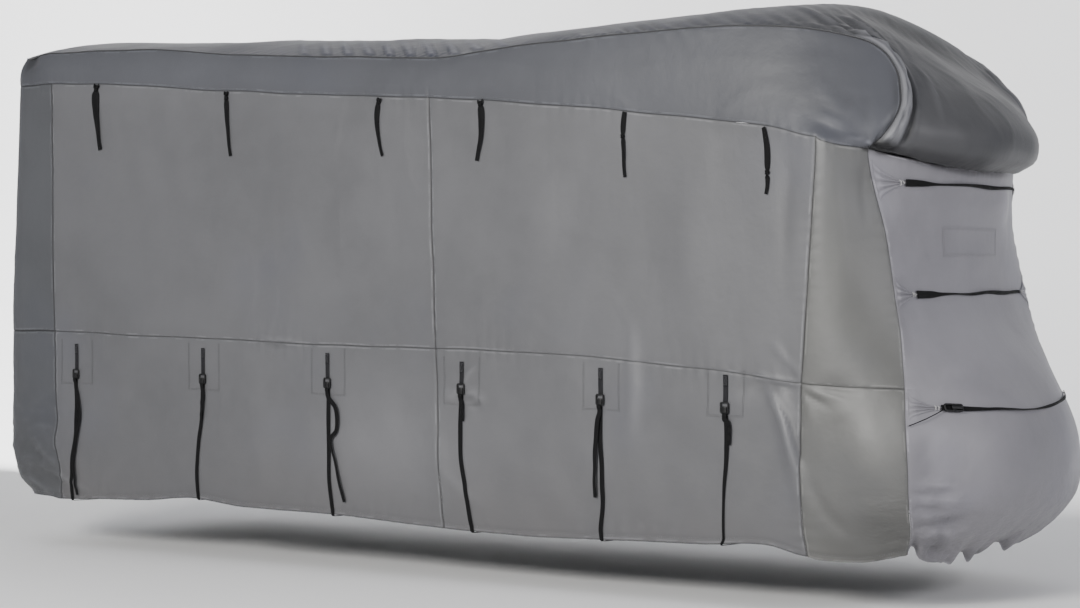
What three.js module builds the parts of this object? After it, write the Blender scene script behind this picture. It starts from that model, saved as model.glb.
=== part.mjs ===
// Fitted cover for a motorhome with an over-cab nose, as it hangs on the vehicle.
// Millimetres. X runs to the nose, +Z up, and R is the side at -Y. The tables are written with Z from
// the ground and X from the front axle, and the group is moved to the support under the roof at the end.
import * as THREE from 'three';

// Driving dimensions. SEAM_GAP is the clear space between two panels on each side of a seam, SKEW how
// far the nose cloth is pulled round per millimetre across, BULGE how full the hood's band stands along
// the sides and at the cheek of the nose.
const CLOTH = 2;
const SEAM_GAP = 0.7;
const SKEW = 0.05;
const FAR_SAG = 46;
const BACK_BOW = 26;
const BACK_CORNER_DEPTH = 300;
const BACK_CORNER_POWER = 3.6;
const BULGE = { side: 16, cheek: 34 };
const LIP_DROP = 4;
const WEBBING = 28;
const WEBBING_THICK = 2;
const WEBBING_LIFT = 6;
const CAST_REACH = 150;
const SUPPORT_X = -2150;
const SUPPORT_GAP = 4;

// A small step of the place s, to find the direction of a surface.
const NEAR = 0.04;

const { lerp, smoothstep, clamp } = THREE.MathUtils;

// Plan outline of the walls at each height: x of the back, half width, x of the front seam,
// the cab corner seam and x of the front at the middle.
const OUTLINE = [
  { z: 190, back: -5330, side: 1104, frontSeam: 422, cabX: 858, cabY: 880, front: 1000 },
  { z: 320, back: -5392, side: 1120, frontSeam: 414, cabX: 892, cabY: 925, front: 1120 },
  { z: 430, back: -5492, side: 1132, frontSeam: 398, cabX: 935, cabY: 980, front: 1236 },
  { z: 560, back: -5545, side: 1140, frontSeam: 392, cabX: 957, cabY: 1040, front: 1325 },
  { z: 760, back: -5556, side: 1144, frontSeam: 391, cabX: 955, cabY: 1060, front: 1350 },
  { z: 1000, back: -5556, side: 1145, frontSeam: 393, cabX: 932, cabY: 1040, front: 1290 },
  { z: 1250, back: -5555, side: 1145, frontSeam: 398, cabX: 890, cabY: 965, front: 1118 },
  { z: 1550, back: -5552, side: 1146, frontSeam: 418, cabX: 822, cabY: 890, front: 912 },
  { z: 1900, back: -5545, side: 1144, frontSeam: 438, cabX: 747, cabY: 860, front: 880 },
  { z: 2150, back: -5536, side: 1141, frontSeam: 452, cabX: 702, cabY: 895, front: 902 },
  { z: 2385, back: -5526, side: 1137, frontSeam: 468, cabX: 678, cabY: 950, front: 918 },
  { z: 2950, back: -5503, side: 1130, frontSeam: 488, cabX: 660, cabY: 960, front: 866 },
];

// Heights of the hem, the skirt seam and the hood seam round the wall. The place s is 0 at the middle
// of the back, 1 at the end of its round corner, 2 at the back corner seam, 6 at the middle seam,
// 10 at the front seam and 16 at the cab corner seam.
const LEVELS = [
  { s: 0, hem: 322, skirt: 1371, tie: 2948 },
  { s: 1, hem: 318, skirt: 1374, tie: 2950 },
  { s: 2, hem: 303, skirt: 1375, tie: 2952 },
  { s: 2.5, hem: 322, skirt: 1366, tie: 2934 },
  { s: 3, hem: 336, skirt: 1357, tie: 2910 },
  { s: 3.5, hem: 370, skirt: 1350, tie: 2874 },
  { s: 4, hem: 338, skirt: 1347, tie: 2843 },
  { s: 5, hem: 330, skirt: 1327, tie: 2790 },
  { s: 6, hem: 301, skirt: 1322, tie: 2742 },
  { s: 7, hem: 292, skirt: 1312, tie: 2692 },
  { s: 8, hem: 306, skirt: 1288, tie: 2632 },
  { s: 9, hem: 321, skirt: 1248, tie: 2558 },
  { s: 9.6, hem: 342, skirt: 1214, tie: 2500 },
  { s: 10, hem: 298, skirt: 1188, tie: 2448 },
  { s: 12, hem: 278, skirt: 1178, tie: 2416 },
  { s: 14, hem: 284, skirt: 1172, tie: 2398 },
  { s: 16, hem: 318, skirt: 1163, tie: 2385 },
];

// The piped seam round the top and the middle of the top beside it, by the same place s.
const TOP = [
  { s: 1, x: -5228, y: 1085, z: 3140, midX: -5462, midZ: 3118, crown: 2.6 },
  { s: 1.33, x: -5166, y: 1085, z: 3146, midX: -5422, midZ: 3226, crown: 2.8 },
  { s: 1.66, x: -5102, y: 1085, z: 3150, midX: -5306, midZ: 3268, crown: 2.7 },
  { s: 2, x: -5038, y: 1085, z: 3152, midX: -5130, midZ: 3282, crown: 2.5 },
  { s: 3, x: -4273, y: 1085, z: 3134, midX: -4290, midZ: 3234, crown: 2.4 },
  { s: 4, x: -3508, y: 1085, z: 3068, midX: -3508, midZ: 3213, crown: 2.4 },
  { s: 5, x: -2743, y: 1085, z: 3019, midX: -2743, midZ: 3178, crown: 2.4 },
  { s: 6, x: -1978, y: 1085, z: 2974, midX: -1978, midZ: 3152, crown: 2.4 },
  { s: 6.5, x: -1665, y: 1085, z: 2987, midX: -1665, midZ: 3172, crown: 2.4 },
  { s: 7, x: -1353, y: 1085, z: 3013, midX: -1353, midZ: 3184, crown: 2.4 },
  { s: 8, x: -728, y: 1082, z: 3036, midX: -728, midZ: 3203, crown: 2.4 },
  { s: 9, x: -103, y: 1050, z: 3049, midX: -103, midZ: 3230, crown: 2.3 },
  { s: 9.5, x: 240, y: 995, z: 3028, midX: 190, midZ: 3222, crown: 2.2 },
  { s: 10, x: 500, y: 890, z: 2982, midX: 392, midZ: 3138, crown: 2.2 },
  { s: 11, x: 655, y: 780, z: 2918, midX: 550, midZ: 3010, crown: 2.0 },
  { s: 12, x: 735, y: 750, z: 2815, midX: 705, midZ: 2876, crown: 2.0 },
  { s: 13, x: 780, y: 785, z: 2700, midX: 858, midZ: 2762, crown: 2.0 },
  { s: 14, x: 803, y: 840, z: 2597, midX: 1006, midZ: 2650, crown: 2.0 },
  { s: 15, x: 772, y: 905, z: 2490, midX: 1126, midZ: 2484, crown: 2.2 },
  { s: 15.5, x: 728, y: 928, z: 2436, midX: 1112, midZ: 2352, crown: 2.3 },
  { s: 16, x: 680, y: 948, z: 2405, midX: 984, midZ: 2288, crown: 2.4 },
];

// The front panel from one cab corner seam to the other: u is 0 at the middle and 1 at the seam.
const FRONT_LEVELS = [
  { u: 0, hem: 244, skirt: 1163, tie: 2302, bow: 2.3 },
  { u: 0.5, hem: 248, skirt: 1163, tie: 2316, bow: 2.3 },
  { u: 0.8, hem: 270, skirt: 1163, tie: 2350, bow: 2.3 },
  { u: 1, hem: 318, skirt: 1163, tie: 2385, bow: 2.3 },
];

// Main folds of the cloth: a ridge (or a trough, if its rise is negative) along the points given.
const FOLDS = [
  { along: [[238, -1144, 1225], [325, -1142, 920], [385, -1138, 600]], wide: 46, rise: 26 },
  { along: [[290, -1144, 1180], [140, -1145, 1160], [-20, -1145, 1110]], wide: 60, rise: -12 },
  { along: [[640, -1090, 1010], [760, -1060, 860], [800, -1050, 640]], wide: 150, rise: 24 },
  { along: [[520, -1130, 1100], [560, -1120, 1150], [720, -1070, 1140]], wide: 60, rise: -14 },
  { along: [[560, -1120, 420], [700, -1080, 330], [840, -1000, 330]], wide: 70, rise: 14 },
  { along: [[-5250, -1120, 800], [-5080, -1140, 760], [-4800, -1144, 790]], wide: 70, rise: 12 },
  { along: [[-5420, -1000, 520], [-5200, -1130, 430], [-4960, -1140, 500]], wide: 60, rise: -14 },
  { along: [[-4500, -1140, 760], [-4200, -1144, 700], [-3900, -1144, 720]], wide: 90, rise: -10 },
  { along: [[-1940, -1144, 1000], [-1900, -1144, 700], [-1890, -1140, 330]], wide: 50, rise: 9 },
  { along: [[-3400, -1144, 1330], [-3300, -1144, 900], [-3200, -1140, 350]], wide: 120, rise: 10 },
  { along: [[-1300, -1145, 2500], [-1240, -1145, 1900], [-1250, -1145, 1400]], wide: 160, rise: 10 },
  { along: [[-3000, -1145, 2600], [-2950, -1145, 2000], [-2980, -1145, 1450]], wide: 200, rise: 9 },
  { along: [[-300, -1145, 2400], [-200, -1145, 1900], [-240, -1145, 1400]], wide: 150, rise: 10 },
  { along: [[950, -960, 560], [1060, -800, 480], [1160, -600, 520]], wide: 55, rise: -22 },
  { along: [[960, -960, 450], [1040, -820, 380], [1120, -640, 400]], wide: 45, rise: 20 },
  { along: [[930, -960, 700], [1060, -860, 640], [1160, -700, 660]], wide: 60, rise: -14 },
  { along: [[960, 940, 560], [1060, 800, 480], [1160, 600, 520]], wide: 55, rise: -20 },
  { along: [[930, 960, 430], [1040, 820, 380], [1120, 640, 400]], wide: 45, rise: 18 },
  { along: [[850, -860, 1640], [900, -700, 1640], [940, -500, 1640]], wide: 90, rise: -12 },
  { along: [[740, -890, 2210], [800, -740, 2215], [840, -520, 2215]], wide: 80, rise: -10 },
  { along: [[960, -980, 1070], [1050, -860, 1060], [1160, -600, 1040]], wide: 90, rise: -14 },
  { along: [[300, 1140, 1230], [380, 1135, 900], [420, 1130, 560]], wide: 50, rise: 20 },
  { along: [[640, 1090, 1000], [740, 1060, 820], [800, 1050, 620]], wide: 150, rise: 22 },
  { along: [[-5440, 700, 700], [-5540, 300, 640], [-5550, -300, 690]], wide: 90, rise: -14 },
  { along: [[-5540, 500, 2500], [-5545, 450, 1900], [-5550, 480, 1450]], wide: 160, rise: 10 },
  { along: [[-5540, -400, 2500], [-5545, -380, 1900], [-5550, -430, 1450]], wide: 160, rise: 9 },
  { along: [[-4000, 1145, 2500], [-3950, 1145, 1900], [-3980, 1145, 1450]], wide: 180, rise: 10 },
  { along: [[-900, 1145, 2500], [-840, 1145, 1900], [-870, 1145, 1400]], wide: 180, rise: 10 },
  { along: [[-2600, 1140, 1250], [-2500, 1144, 800], [-2560, 1140, 350]], wide: 110, rise: 10 },
  { along: [[-4500, -300, 3270], [-4400, 100, 3265], [-4450, 500, 3240]], wide: 90, rise: -12 },
  { along: [[-1950, -700, 3100], [-1980, 0, 3152], [-1950, 700, 3100]], wide: 160, rise: -14 },
];

// The rolled fold of the nose cloth beside the piped seam: how far in from the seam it lies, and how
// high and wide it stands on each side.
const NOSE_ROLL = { from: 9.4, peak: 13, to: 16, inset: 78, wide: 46, highR: 44, highL: 14 };

// How many steps each stretch of the grid has.
const ACROSS_STEPS = 8;
const BAND_STEPS = 4;
const LIP_STEPS = 1;
const SKIRT_ROWS = [0, 0.07, 0.17, 0.31, 0.52, 0.76, 1];
const UPPER_ROWS = [1, 1.17, 1.34, 1.5, 1.67, 1.84, 2];
const TAIL_PLACES = [1, 1.33, 1.66, 2];
const BACK_LENGTH_STEPS = 8;
const FRONT_LENGTH_STEPS = 8;
const CAB_STEPS = 8;

// Pieces of webbing and their fittings. Each tie is given by x and height at its root and its end.
const TIES = [
  { x: -4620, top: 2924, endX: -4584, end: 2518, wide: 56 },
  { x: -3520, top: 2838, endX: -3484, end: 2451, wide: 36 },
  { x: -2333, top: 2752, endX: -2309, end: 2421, wide: 34 },
  { x: -1610, top: 2706, endX: -1626, end: 2374, wide: 42 },
  { x: -636, top: 2615, endX: -650, end: 2262, wide: 32 },
  { x: 184, top: 2498, endX: 197, end: 2158, wide: 32 },
];
const TIE_THICK = 4;

// Belly straps by x: top of the sewn head, the buckle, where the strap leaves at the hem, its free tail.
const STRAPS = [
  { x: -4798, head: 1296, buckle: 1108, hemX: -4862, tailX: -4770, tail: 352 },
  { x: -3704, head: 1290, buckle: 1104, hemX: -3760, tailX: -3722, tail: 800 },
  { x: -2716, head: 1279, buckle: 1104, hemX: -2694, tailX: -2592, tail: 420 },
  { x: -1736, head: 1248, buckle: 1098, hemX: -1672, tailX: -1748, tail: 900 },
  { x: -788, head: 1236, buckle: 1066, hemX: -772, tailX: -836, tail: 540 },
  { x: -30, head: 1218, buckle: 1046, hemX: -38, tailX: 6, tail: 700 },
];
const BUCKLE = { wide: 52, tall: 62, thick: 12, bar: 7 };
// The strap runs under the vehicle a little below the hem; HEM_LOOK is about the height of the hem, and
// TURN how far above the hem the strap's run along the skirt begins.
const BELLY_SAG = 26;
const HEM_CLEAR = 9;
const HEM_LOOK = 330;
const TURN = { far: 90, near: 110, edge: 30, round: 6, under: 40 };
const TAIL_LIFT = 9;

// Front straps by height, and the gathered tab that each springs from on both sides. The share is how
// far out from the middle the tab's tip lies, as a share of the half width.
const FRONT_STRAPS = [
  { z: 2215, sag: 2, tip: 0.79, half: 58, root: [2330, 2120], wideEnd: 34, wideMid: 16 },
  { z: 1640, sag: 4, tip: 0.79, half: 44, root: [1735, 1560], wideEnd: 34, wideMid: 16 },
  { z: 1068, sag: 34, tip: 0.82, half: 34, root: [1140, 1010], wideEnd: 22, wideMid: 16 },
];
const TAB_LIFT = 3;
const TAB_TIP = 16;
const TAB_ROOT_SHARE = 0.965;
const STRAP_LIFT = 9;
const ADJUSTER = { wide: 34, long: 118, thick: 14, share: 0.8 };
const PATCH = { left: -0.48, right: 0.31, low: 1838, high: 1992, lift: 3 };

const MATERIALS = {
  hood: new THREE.MeshStandardMaterial({ color: 0x686b71, roughness: 0.55, metalness: 0 }),
  wall: new THREE.MeshStandardMaterial({ color: 0x7a7b7e, roughness: 0.6, metalness: 0 }),
  front: new THREE.MeshStandardMaterial({ color: 0x8a8991, roughness: 0.6, metalness: 0 }),
  webbing: new THREE.MeshStandardMaterial({ color: 0x1e1f22, roughness: 0.75, metalness: 0 }),
  plastic: new THREE.MeshStandardMaterial({ color: 0x161719, roughness: 0.4, metalness: 0 }),
};

// Reads one column of a table by a smooth curve through its rows.
function curve(rows, key, at, column) {
  const last = rows.length - 1;
  const place = clamp(at, rows[0][key], rows[last][key]);
  let i = 0;
  while (i < last - 1 && place > rows[i + 1][key]) i += 1;
  const slope = (k) => {
    const a = rows[Math.max(k - 1, 0)];
    const b = rows[Math.min(k + 1, last)];
    return (b[column] - a[column]) / (b[key] - a[key]);
  };
  const a = rows[i];
  const b = rows[i + 1];
  const span = b[key] - a[key];
  const u = (place - a[key]) / span;
  const rise = u * u * (3 - 2 * u);
  const ease = u * (1 - u);
  return lerp(a[column], b[column], rise)
    + span * ease * (slope(i) * (1 - u) - slope(i + 1) * u);
}

const outline = (z, column) => curve(OUTLINE, 'z', z, column);
const level = (s, column) => curve(LEVELS, 's', s, column);
const top = (s, column) => curve(TOP, 's', s, column);
const frontLevel = (u, column) => curve(FRONT_LEVELS, 'u', u, column);

// Shape of a round corner: 0 in the middle and 1 at its end, square to the side there.
const cornerShape = (share) => 1 - (1 - share ** BACK_CORNER_POWER) ** (1 / BACK_CORNER_POWER);

// The upright seams lean a little: x of each by height.
const backSeamX = (z) => -4965 - 0.025 * z;
const middleSeamX = (z) => -1867 - 0.041 * z;

// A point of the wall at place s (negative on the far side) and height z.
function wallAt(s, z) {
  const far = s < 0 ? 1 : -1;
  const place = Math.abs(s);
  const side = outline(z, 'side');
  const back = outline(z, 'back');
  const backEnd = back + BACK_CORNER_DEPTH;
  const frontSeam = outline(z, 'frontSeam');
  if (place <= 1) {
    const x = back - BACK_BOW * (1 - place * place) + BACK_CORNER_DEPTH * cornerShape(place);
    return new THREE.Vector3(x, far * side * place, z);
  }
  if (place <= 2) return new THREE.Vector3(lerp(backEnd, backSeamX(z), place - 1), far * side, z);
  if (place <= 6) {
    return new THREE.Vector3(lerp(backSeamX(z), middleSeamX(z), (place - 2) / 4), far * side, z);
  }
  if (place <= 10) {
    return new THREE.Vector3(lerp(middleSeamX(z), frontSeam, (place - 6) / 4), far * side, z);
  }
  const share = (place - 10) / 6;
  const cabX = outline(z, 'cabX');
  const cabY = outline(z, 'cabY');
  const turnX = lerp(frontSeam, cabX, 0.5);
  const x = lerp(lerp(frontSeam, turnX, share), lerp(turnX, cabX, share), share);
  const y = lerp(side, lerp(side, cabY, share), share);
  return new THREE.Vector3(x, far * y, z);
}

// A point of the front panel: u from -1 at the near cab corner to 1 at the far one.
function frontAt(u, z) {
  const cabX = outline(z, 'cabX');
  const bow = 1 - Math.abs(u) ** frontLevel(Math.abs(u), 'bow');
  return new THREE.Vector3(lerp(cabX, outline(z, 'front'), bow), u * outline(z, 'cabY'), z);
}

// Height at row v of the wall: 0 at the hem, 1 at the skirt seam, 2 at the hood seam.
const rowHeight = (v, low, skirt, high) => (v < 1 ? lerp(low, skirt, v) : lerp(skirt, high, v - 1));

function wallPoint(s, v) {
  const place = Math.abs(s);
  return wallAt(s, rowHeight(v, level(place, 'hem'), level(place, 'skirt'), level(place, 'tie')));
}

function frontPoint(u, v) {
  const share = Math.abs(u);
  const low = frontLevel(share, 'hem');
  return frontAt(u, rowHeight(v, low, frontLevel(share, 'skirt'), frontLevel(share, 'tie')));
}

// Shares across the half width of the top and the front: close together at the round back corners,
// and even towards the nose.
function acrossShare(q, s) {
  const corner = 1 - (1 - q) ** 2.6;
  const even = lerp(q, Math.sin(q * Math.PI / 2), 0.45);
  return lerp(corner, even, smoothstep(s, 2, 9));
}

// A point of the top panel at place s, with share -1 at the near seam and 1 at the far one.
function topPoint(s, share) {
  const place = Math.min(s, 16);
  const reach = Math.abs(share);
  const crown = reach ** top(place, 'crown');
  const rim = lerp(cornerShape(reach), crown, smoothstep(place, 1, 2));
  const point = new THREE.Vector3(
    lerp(top(place, 'midX'), top(place, 'x'), rim),
    share * top(place, 'y'),
    lerp(top(place, 'midZ'), top(place, 'z'), crown),
  );
  const sag = smoothstep(place, 8.8, 11) * (1 - smoothstep(place, 11.6, 13.2));
  point.z -= FAR_SAG * sag * Math.max(share, 0);
  if (s <= 16) return point;
  const under = frontPoint(share, 2);
  under.z += LIP_DROP * (1 - reach);
  return point.lerp(under, s - 16);
}

// The upper edge of the hood's band at place s, negative on the far side.
function seamPoint(s) {
  const place = Math.abs(s);
  if (place <= 1) return topPoint(1, s < 0 ? place : -place);
  return topPoint(place, s < 0 ? 1 : -1);
}

// A point of the band between the hood seam and the piped seam, with a full, round cheek.
function bandPoint(s, w) {
  const low = wallPoint(s, 2);
  const high = seamPoint(s);
  const middleAt = (place) => seamPoint(place).add(wallPoint(place, 2));
  const along = middleAt(Math.min(s + NEAR, 16)).sub(middleAt(Math.max(s - NEAR, -16)));
  const out = along.cross(high.clone().sub(low)).normalize();
  const full = lerp(BULGE.side, BULGE.cheek, smoothstep(Math.abs(s), 8, 13));
  const tip = 1 - smoothstep(Math.abs(s), 14, 16);
  return low.lerp(high, w).addScaledVector(out, 4 * w * (1 - w) * full * tip);
}

// How far the cloth stands out at a point because of the main folds.
function foldRise(point) {
  let rise = 0;
  FOLDS.forEach((fold) => {
    const [a, b, c] = fold.along.map((xyz) => new THREE.Vector3(...xyz));
    const parts = [new THREE.Line3(a, b), new THREE.Line3(b, c)];
    let best = Infinity;
    let share = 0;
    parts.forEach((part, half) => {
      const t = part.closestPointToPointParameter(point, true);
      const gap = part.at(t, new THREE.Vector3()).distanceTo(point);
      if (gap < best) {
        best = gap;
        share = (half + t) / 2;
      }
    });
    rise += fold.rise * Math.exp(-((best / fold.wide) ** 2)) * Math.sin(Math.PI * lerp(0.08, 0.92, share));
  });
  return rise;
}

// The cover sits a little askew on the front of the vehicle.
function askew(point) {
  point.x -= SKEW * point.y * smoothstep(point.x, -500, 600);
  return point;
}

// The rolled fold beside the piped seam of the nose.
function noseRoll(s, share) {
  const up = smoothstep(s, NOSE_ROLL.from, NOSE_ROLL.peak) * (1 - smoothstep(s, 15, NOSE_ROLL.to));
  const inset = (1 - Math.abs(share)) * top(Math.min(s, 16), 'y');
  const high = share < 0 ? NOSE_ROLL.highR : NOSE_ROLL.highL;
  const foot = 1 - Math.exp(-((3 * inset / NOSE_ROLL.inset) ** 2));
  return high * up * foot * Math.exp(-(((inset - NOSE_ROLL.inset) / NOSE_ROLL.wide) ** 2));
}

const span = (from, to, steps) => Array.from({ length: steps + 1 }, (_, i) => lerp(from, to, i / steps));
const mirrored = (places) => places.map((s) => -s).reverse();

const HALF_ACROSS = span(0, 1, ACROSS_STEPS);
const ACROSS = [...mirrored(HALF_ACROSS), ...HALF_ACROSS.slice(1)];
const BACK_HALF = HALF_ACROSS.map((q) => acrossShare(q, 1));
const BACK_LENGTH = span(2, 6, BACK_LENGTH_STEPS);
const FRONT_LENGTH = span(6, 10, FRONT_LENGTH_STEPS);
const CAB = span(10, 16, CAB_STEPS);
const ROUND_HALF = [...BACK_HALF, ...TAIL_PLACES.slice(1)];
const HOOD_LENGTH = [...TAIL_PLACES, ...BACK_LENGTH.slice(1), ...FRONT_LENGTH.slice(1), ...CAB.slice(1)];
const SIDE_HALF = [...BACK_HALF, ...HOOD_LENGTH.slice(1)];
const TOP_PLACES = [...HOOD_LENGTH, ...span(16, 17, LIP_STEPS).slice(1)];
const acrossAt = (q, s) => Math.sign(q) * acrossShare(Math.abs(q), s);

// Every panel is a grid of points: places along it, rows across it and the surface it lies on.
const wallGrid = (places, rows) => places.map((s) => rows.map((v) => ({ point: wallPoint(s, v), roll: 0 })));
const BACK_PLACES = [...mirrored(ROUND_HALF), ...ROUND_HALF.slice(1)];
const BAND_ROWS = span(0, 1, BAND_STEPS);
const bandGrid = (places) => places.map((s) => BAND_ROWS.map((w) => ({ point: bandPoint(s, w), roll: 0 })));
const FRONT_ROWS = [...SKIRT_ROWS, ...UPPER_ROWS.slice(1)];

const PANELS = [
  { name: 'rear_upper', look: 'wall', grid: wallGrid(BACK_PLACES, UPPER_ROWS) },
  { name: 'rear_skirt', look: 'wall', grid: wallGrid(BACK_PLACES, SKIRT_ROWS) },
  {
    name: 'front_panel',
    look: 'front',
    grid: ACROSS.map((q) => FRONT_ROWS.map((v) => ({ point: frontPoint(acrossAt(q, 16), v), roll: 0 }))),
  },
  {
    name: 'top_panel',
    look: 'hood',
    grid: TOP_PLACES.map((s) => ACROSS.map((q) => {
      const share = acrossAt(q, s);
      return { point: topPoint(s, share), roll: noseRoll(s, share) };
    })),
  },
];
const SIDE_PANELS = [
  { name: 'side_rear_upper', look: 'wall', places: BACK_LENGTH, rows: UPPER_ROWS },
  { name: 'side_front_upper', look: 'wall', places: FRONT_LENGTH, rows: UPPER_ROWS },
  { name: 'cab_upper', look: 'wall', places: CAB, rows: UPPER_ROWS },
  { name: 'skirt_rear', look: 'wall', places: BACK_LENGTH, rows: SKIRT_ROWS },
  { name: 'skirt_front', look: 'wall', places: FRONT_LENGTH, rows: SKIRT_ROWS },
  { name: 'cab_skirt', look: 'wall', places: CAB, rows: SKIRT_ROWS },
];
SIDE_PANELS.forEach(({ name, look, places, rows }) => {
  PANELS.push({ name: `${name}_R`, look, grid: wallGrid(places, rows) });
  PANELS.push({ name: `${name}_L`, look, grid: wallGrid(mirrored(places), rows) });
});
PANELS.push({ name: 'band_R', look: 'hood', grid: bandGrid(SIDE_HALF) });
PANELS.push({ name: 'band_L', look: 'hood', grid: bandGrid(mirrored(SIDE_HALF)) });

// Adds up the directions of the faces round each point of the whole cover, so that panels that share a
// seam also share its direction.
const spotOf = (point) => point.toArray().map((value) => Math.round(value * 20)).join(' ');
function directions(grids) {
  const found = new Map();
  const add = (point, direction) => {
    const spot = spotOf(point);
    if (!found.has(spot)) found.set(spot, new THREE.Vector3());
    found.get(spot).add(direction);
  };
  grids.forEach((grid) => {
    for (let i = 0; i < grid.length - 1; i += 1) {
      for (let j = 0; j < grid[i].length - 1; j += 1) {
        const corners = [grid[i][j], grid[i + 1][j], grid[i + 1][j + 1], grid[i][j + 1]];
        const [a, b, c, d] = corners.map((corner) => corner.point);
        const direction = c.clone().sub(a).cross(d.clone().sub(b)).normalize();
        corners.forEach((corner) => add(corner.point, direction));
      }
    }
  });
  found.forEach((direction) => direction.normalize());
  return found;
}

// Raises the folds on every grid, then finds the directions of the folded cloth.
function foldPanels(panels) {
  const flat = directions(panels.map((panel) => panel.grid));
  panels.forEach((panel) => {
    panel.grid = panel.grid.map((column) => column.map(({ point, roll }) => {
      const out = flat.get(spotOf(point));
      const raised = point.clone().addScaledVector(out, foldRise(point) + roll);
      return { point: askew(raised) };
    }));
  });
  const folded = directions(panels.map((panel) => panel.grid));
  panels.forEach((panel) => {
    panel.grid.forEach((column) => column.forEach((corner) => {
      corner.out = folded.get(spotOf(corner.point));
    }));
  });
}

// A closed sheet from a grid of points and directions: its face, its back and its four edges.
function sheetGeometry(grid, thick, gap) {
  const long = grid.length;
  const wide = grid[0].length;
  const inward = (i, count) => (i === 0 ? 1 : 0) - (i === count - 1 ? 1 : 0);
  const positions = [];
  grid.forEach((column, i) => column.forEach(({ point, out }, j) => {
    const next = grid[i + inward(i, long)][j + inward(j, wide)].point;
    const edge = point.clone();
    if (next !== point && next.distanceTo(point) > gap) {
      edge.addScaledVector(next.clone().sub(point).normalize(), gap);
    }
    positions.push(edge, edge.clone().addScaledVector(out, -thick));
  }));
  const at = (i, j, under) => 2 * (i * wide + j) + under;
  const faces = [];
  const quad = (a, b, c, d) => faces.push([a, b, c], [a, c, d]);
  for (let i = 0; i < long - 1; i += 1) {
    for (let j = 0; j < wide - 1; j += 1) {
      quad(at(i, j, 0), at(i + 1, j, 0), at(i + 1, j + 1, 0), at(i, j + 1, 0));
      quad(at(i, j, 1), at(i, j + 1, 1), at(i + 1, j + 1, 1), at(i + 1, j, 1));
    }
    quad(at(i, 0, 1), at(i + 1, 0, 1), at(i + 1, 0, 0), at(i, 0, 0));
    quad(at(i + 1, wide - 1, 1), at(i, wide - 1, 1), at(i, wide - 1, 0), at(i + 1, wide - 1, 0));
  }
  for (let j = 0; j < wide - 1; j += 1) {
    quad(at(0, j, 0), at(0, j + 1, 0), at(0, j + 1, 1), at(0, j, 1));
    quad(at(long - 1, j, 1), at(long - 1, j + 1, 1), at(long - 1, j + 1, 0), at(long - 1, j, 0));
  }
  return solidGeometry(positions, faces);
}

function solidGeometry(positions, faces) {
  const geometry = new THREE.BufferGeometry();
  const values = new Float64Array(faces.flat().flatMap((index) => positions[index].toArray()));
  geometry.setAttribute('position', new THREE.BufferAttribute(values, 3));
  geometry.computeVertexNormals();
  return geometry;
}

// A strip of webbing along a path. Each step has a point, the direction out of the cloth and a width.
function ribbonGeometry(steps, thick) {
  const positions = [];
  const faces = [];
  steps.forEach(({ point, out, wide }, i) => {
    const before = steps[Math.max(i - 1, 0)].point;
    const after = steps[Math.min(i + 1, steps.length - 1)].point;
    const ahead = after.clone().sub(before).normalize();
    const across = ahead.clone().cross(out).normalize();
    const up = across.clone().cross(ahead).normalize();
    [[-1, -1], [1, -1], [1, 1], [-1, 1]].forEach(([a, b]) => {
      positions.push(point.clone()
        .addScaledVector(across, a * wide / 2)
        .addScaledVector(up, b * thick / 2));
    });
  });
  for (let i = 0; i < steps.length - 1; i += 1) {
    for (let k = 0; k < 4; k += 1) {
      const a = 4 * i + k;
      const b = 4 * i + (k + 1) % 4;
      faces.push([a, b + 4, b], [a, a + 4, b + 4]);
    }
  }
  const end = 4 * (steps.length - 1);
  faces.push([0, 1, 2], [0, 2, 3], [end, end + 2, end + 1], [end, end + 3, end + 2]);
  return solidGeometry(positions, faces);
}

// The direction out of a surface at a place, and the folded point there.
function foldedPoint(surface, a, b) {
  const point = surface(a, b);
  const along = surface(a + NEAR / 4, b).sub(surface(a - NEAR / 4, b));
  const upward = surface(a, b + 1).sub(surface(a, b - 1));
  const out = along.cross(upward).normalize();
  return { point: askew(point.addScaledVector(out, foldRise(point))), out };
}

// A point that lies a little above the panels that are already in the model.
const caster = new THREE.Raycaster();
function onSurface(surface, a, b, lift) {
  const { point, out } = foldedPoint(surface, a, b);
  caster.set(point.clone().addScaledVector(out, CAST_REACH), out.clone().negate());
  caster.far = 2 * CAST_REACH;
  const hit = caster.intersectObjects(panelMeshes, false)[0];
  const base = hit ? hit.point : point;
  return { point: base.clone().addScaledVector(out, lift), out };
}

// The place s on the near side where the wall has a given x at a given height.
function placeOfX(x, z) {
  let low = 1;
  let high = 15.9;
  for (let i = 0; i < 30; i += 1) {
    const middle = (low + high) / 2;
    if (wallAt(middle, z).x < x) low = middle;
    else high = middle;
  }
  return low;
}

// A point beside the near or the far side at x and height z.
function besideWall(x, z, lift, far) {
  const s = placeOfX(x, z);
  return onSurface(wallAt, far ? -s : s, z, lift);
}

const model = new THREE.Group();
function addPiece(name, geometry, look) {
  const mesh = new THREE.Mesh(geometry, MATERIALS[look]);
  mesh.name = name;
  model.add(mesh);
  return mesh;
}

foldPanels(PANELS);
const panelMeshes = PANELS.map(({ name, look, grid }) => (
  addPiece(name, sheetGeometry(grid, CLOTH, SEAM_GAP), look)
));

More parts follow.
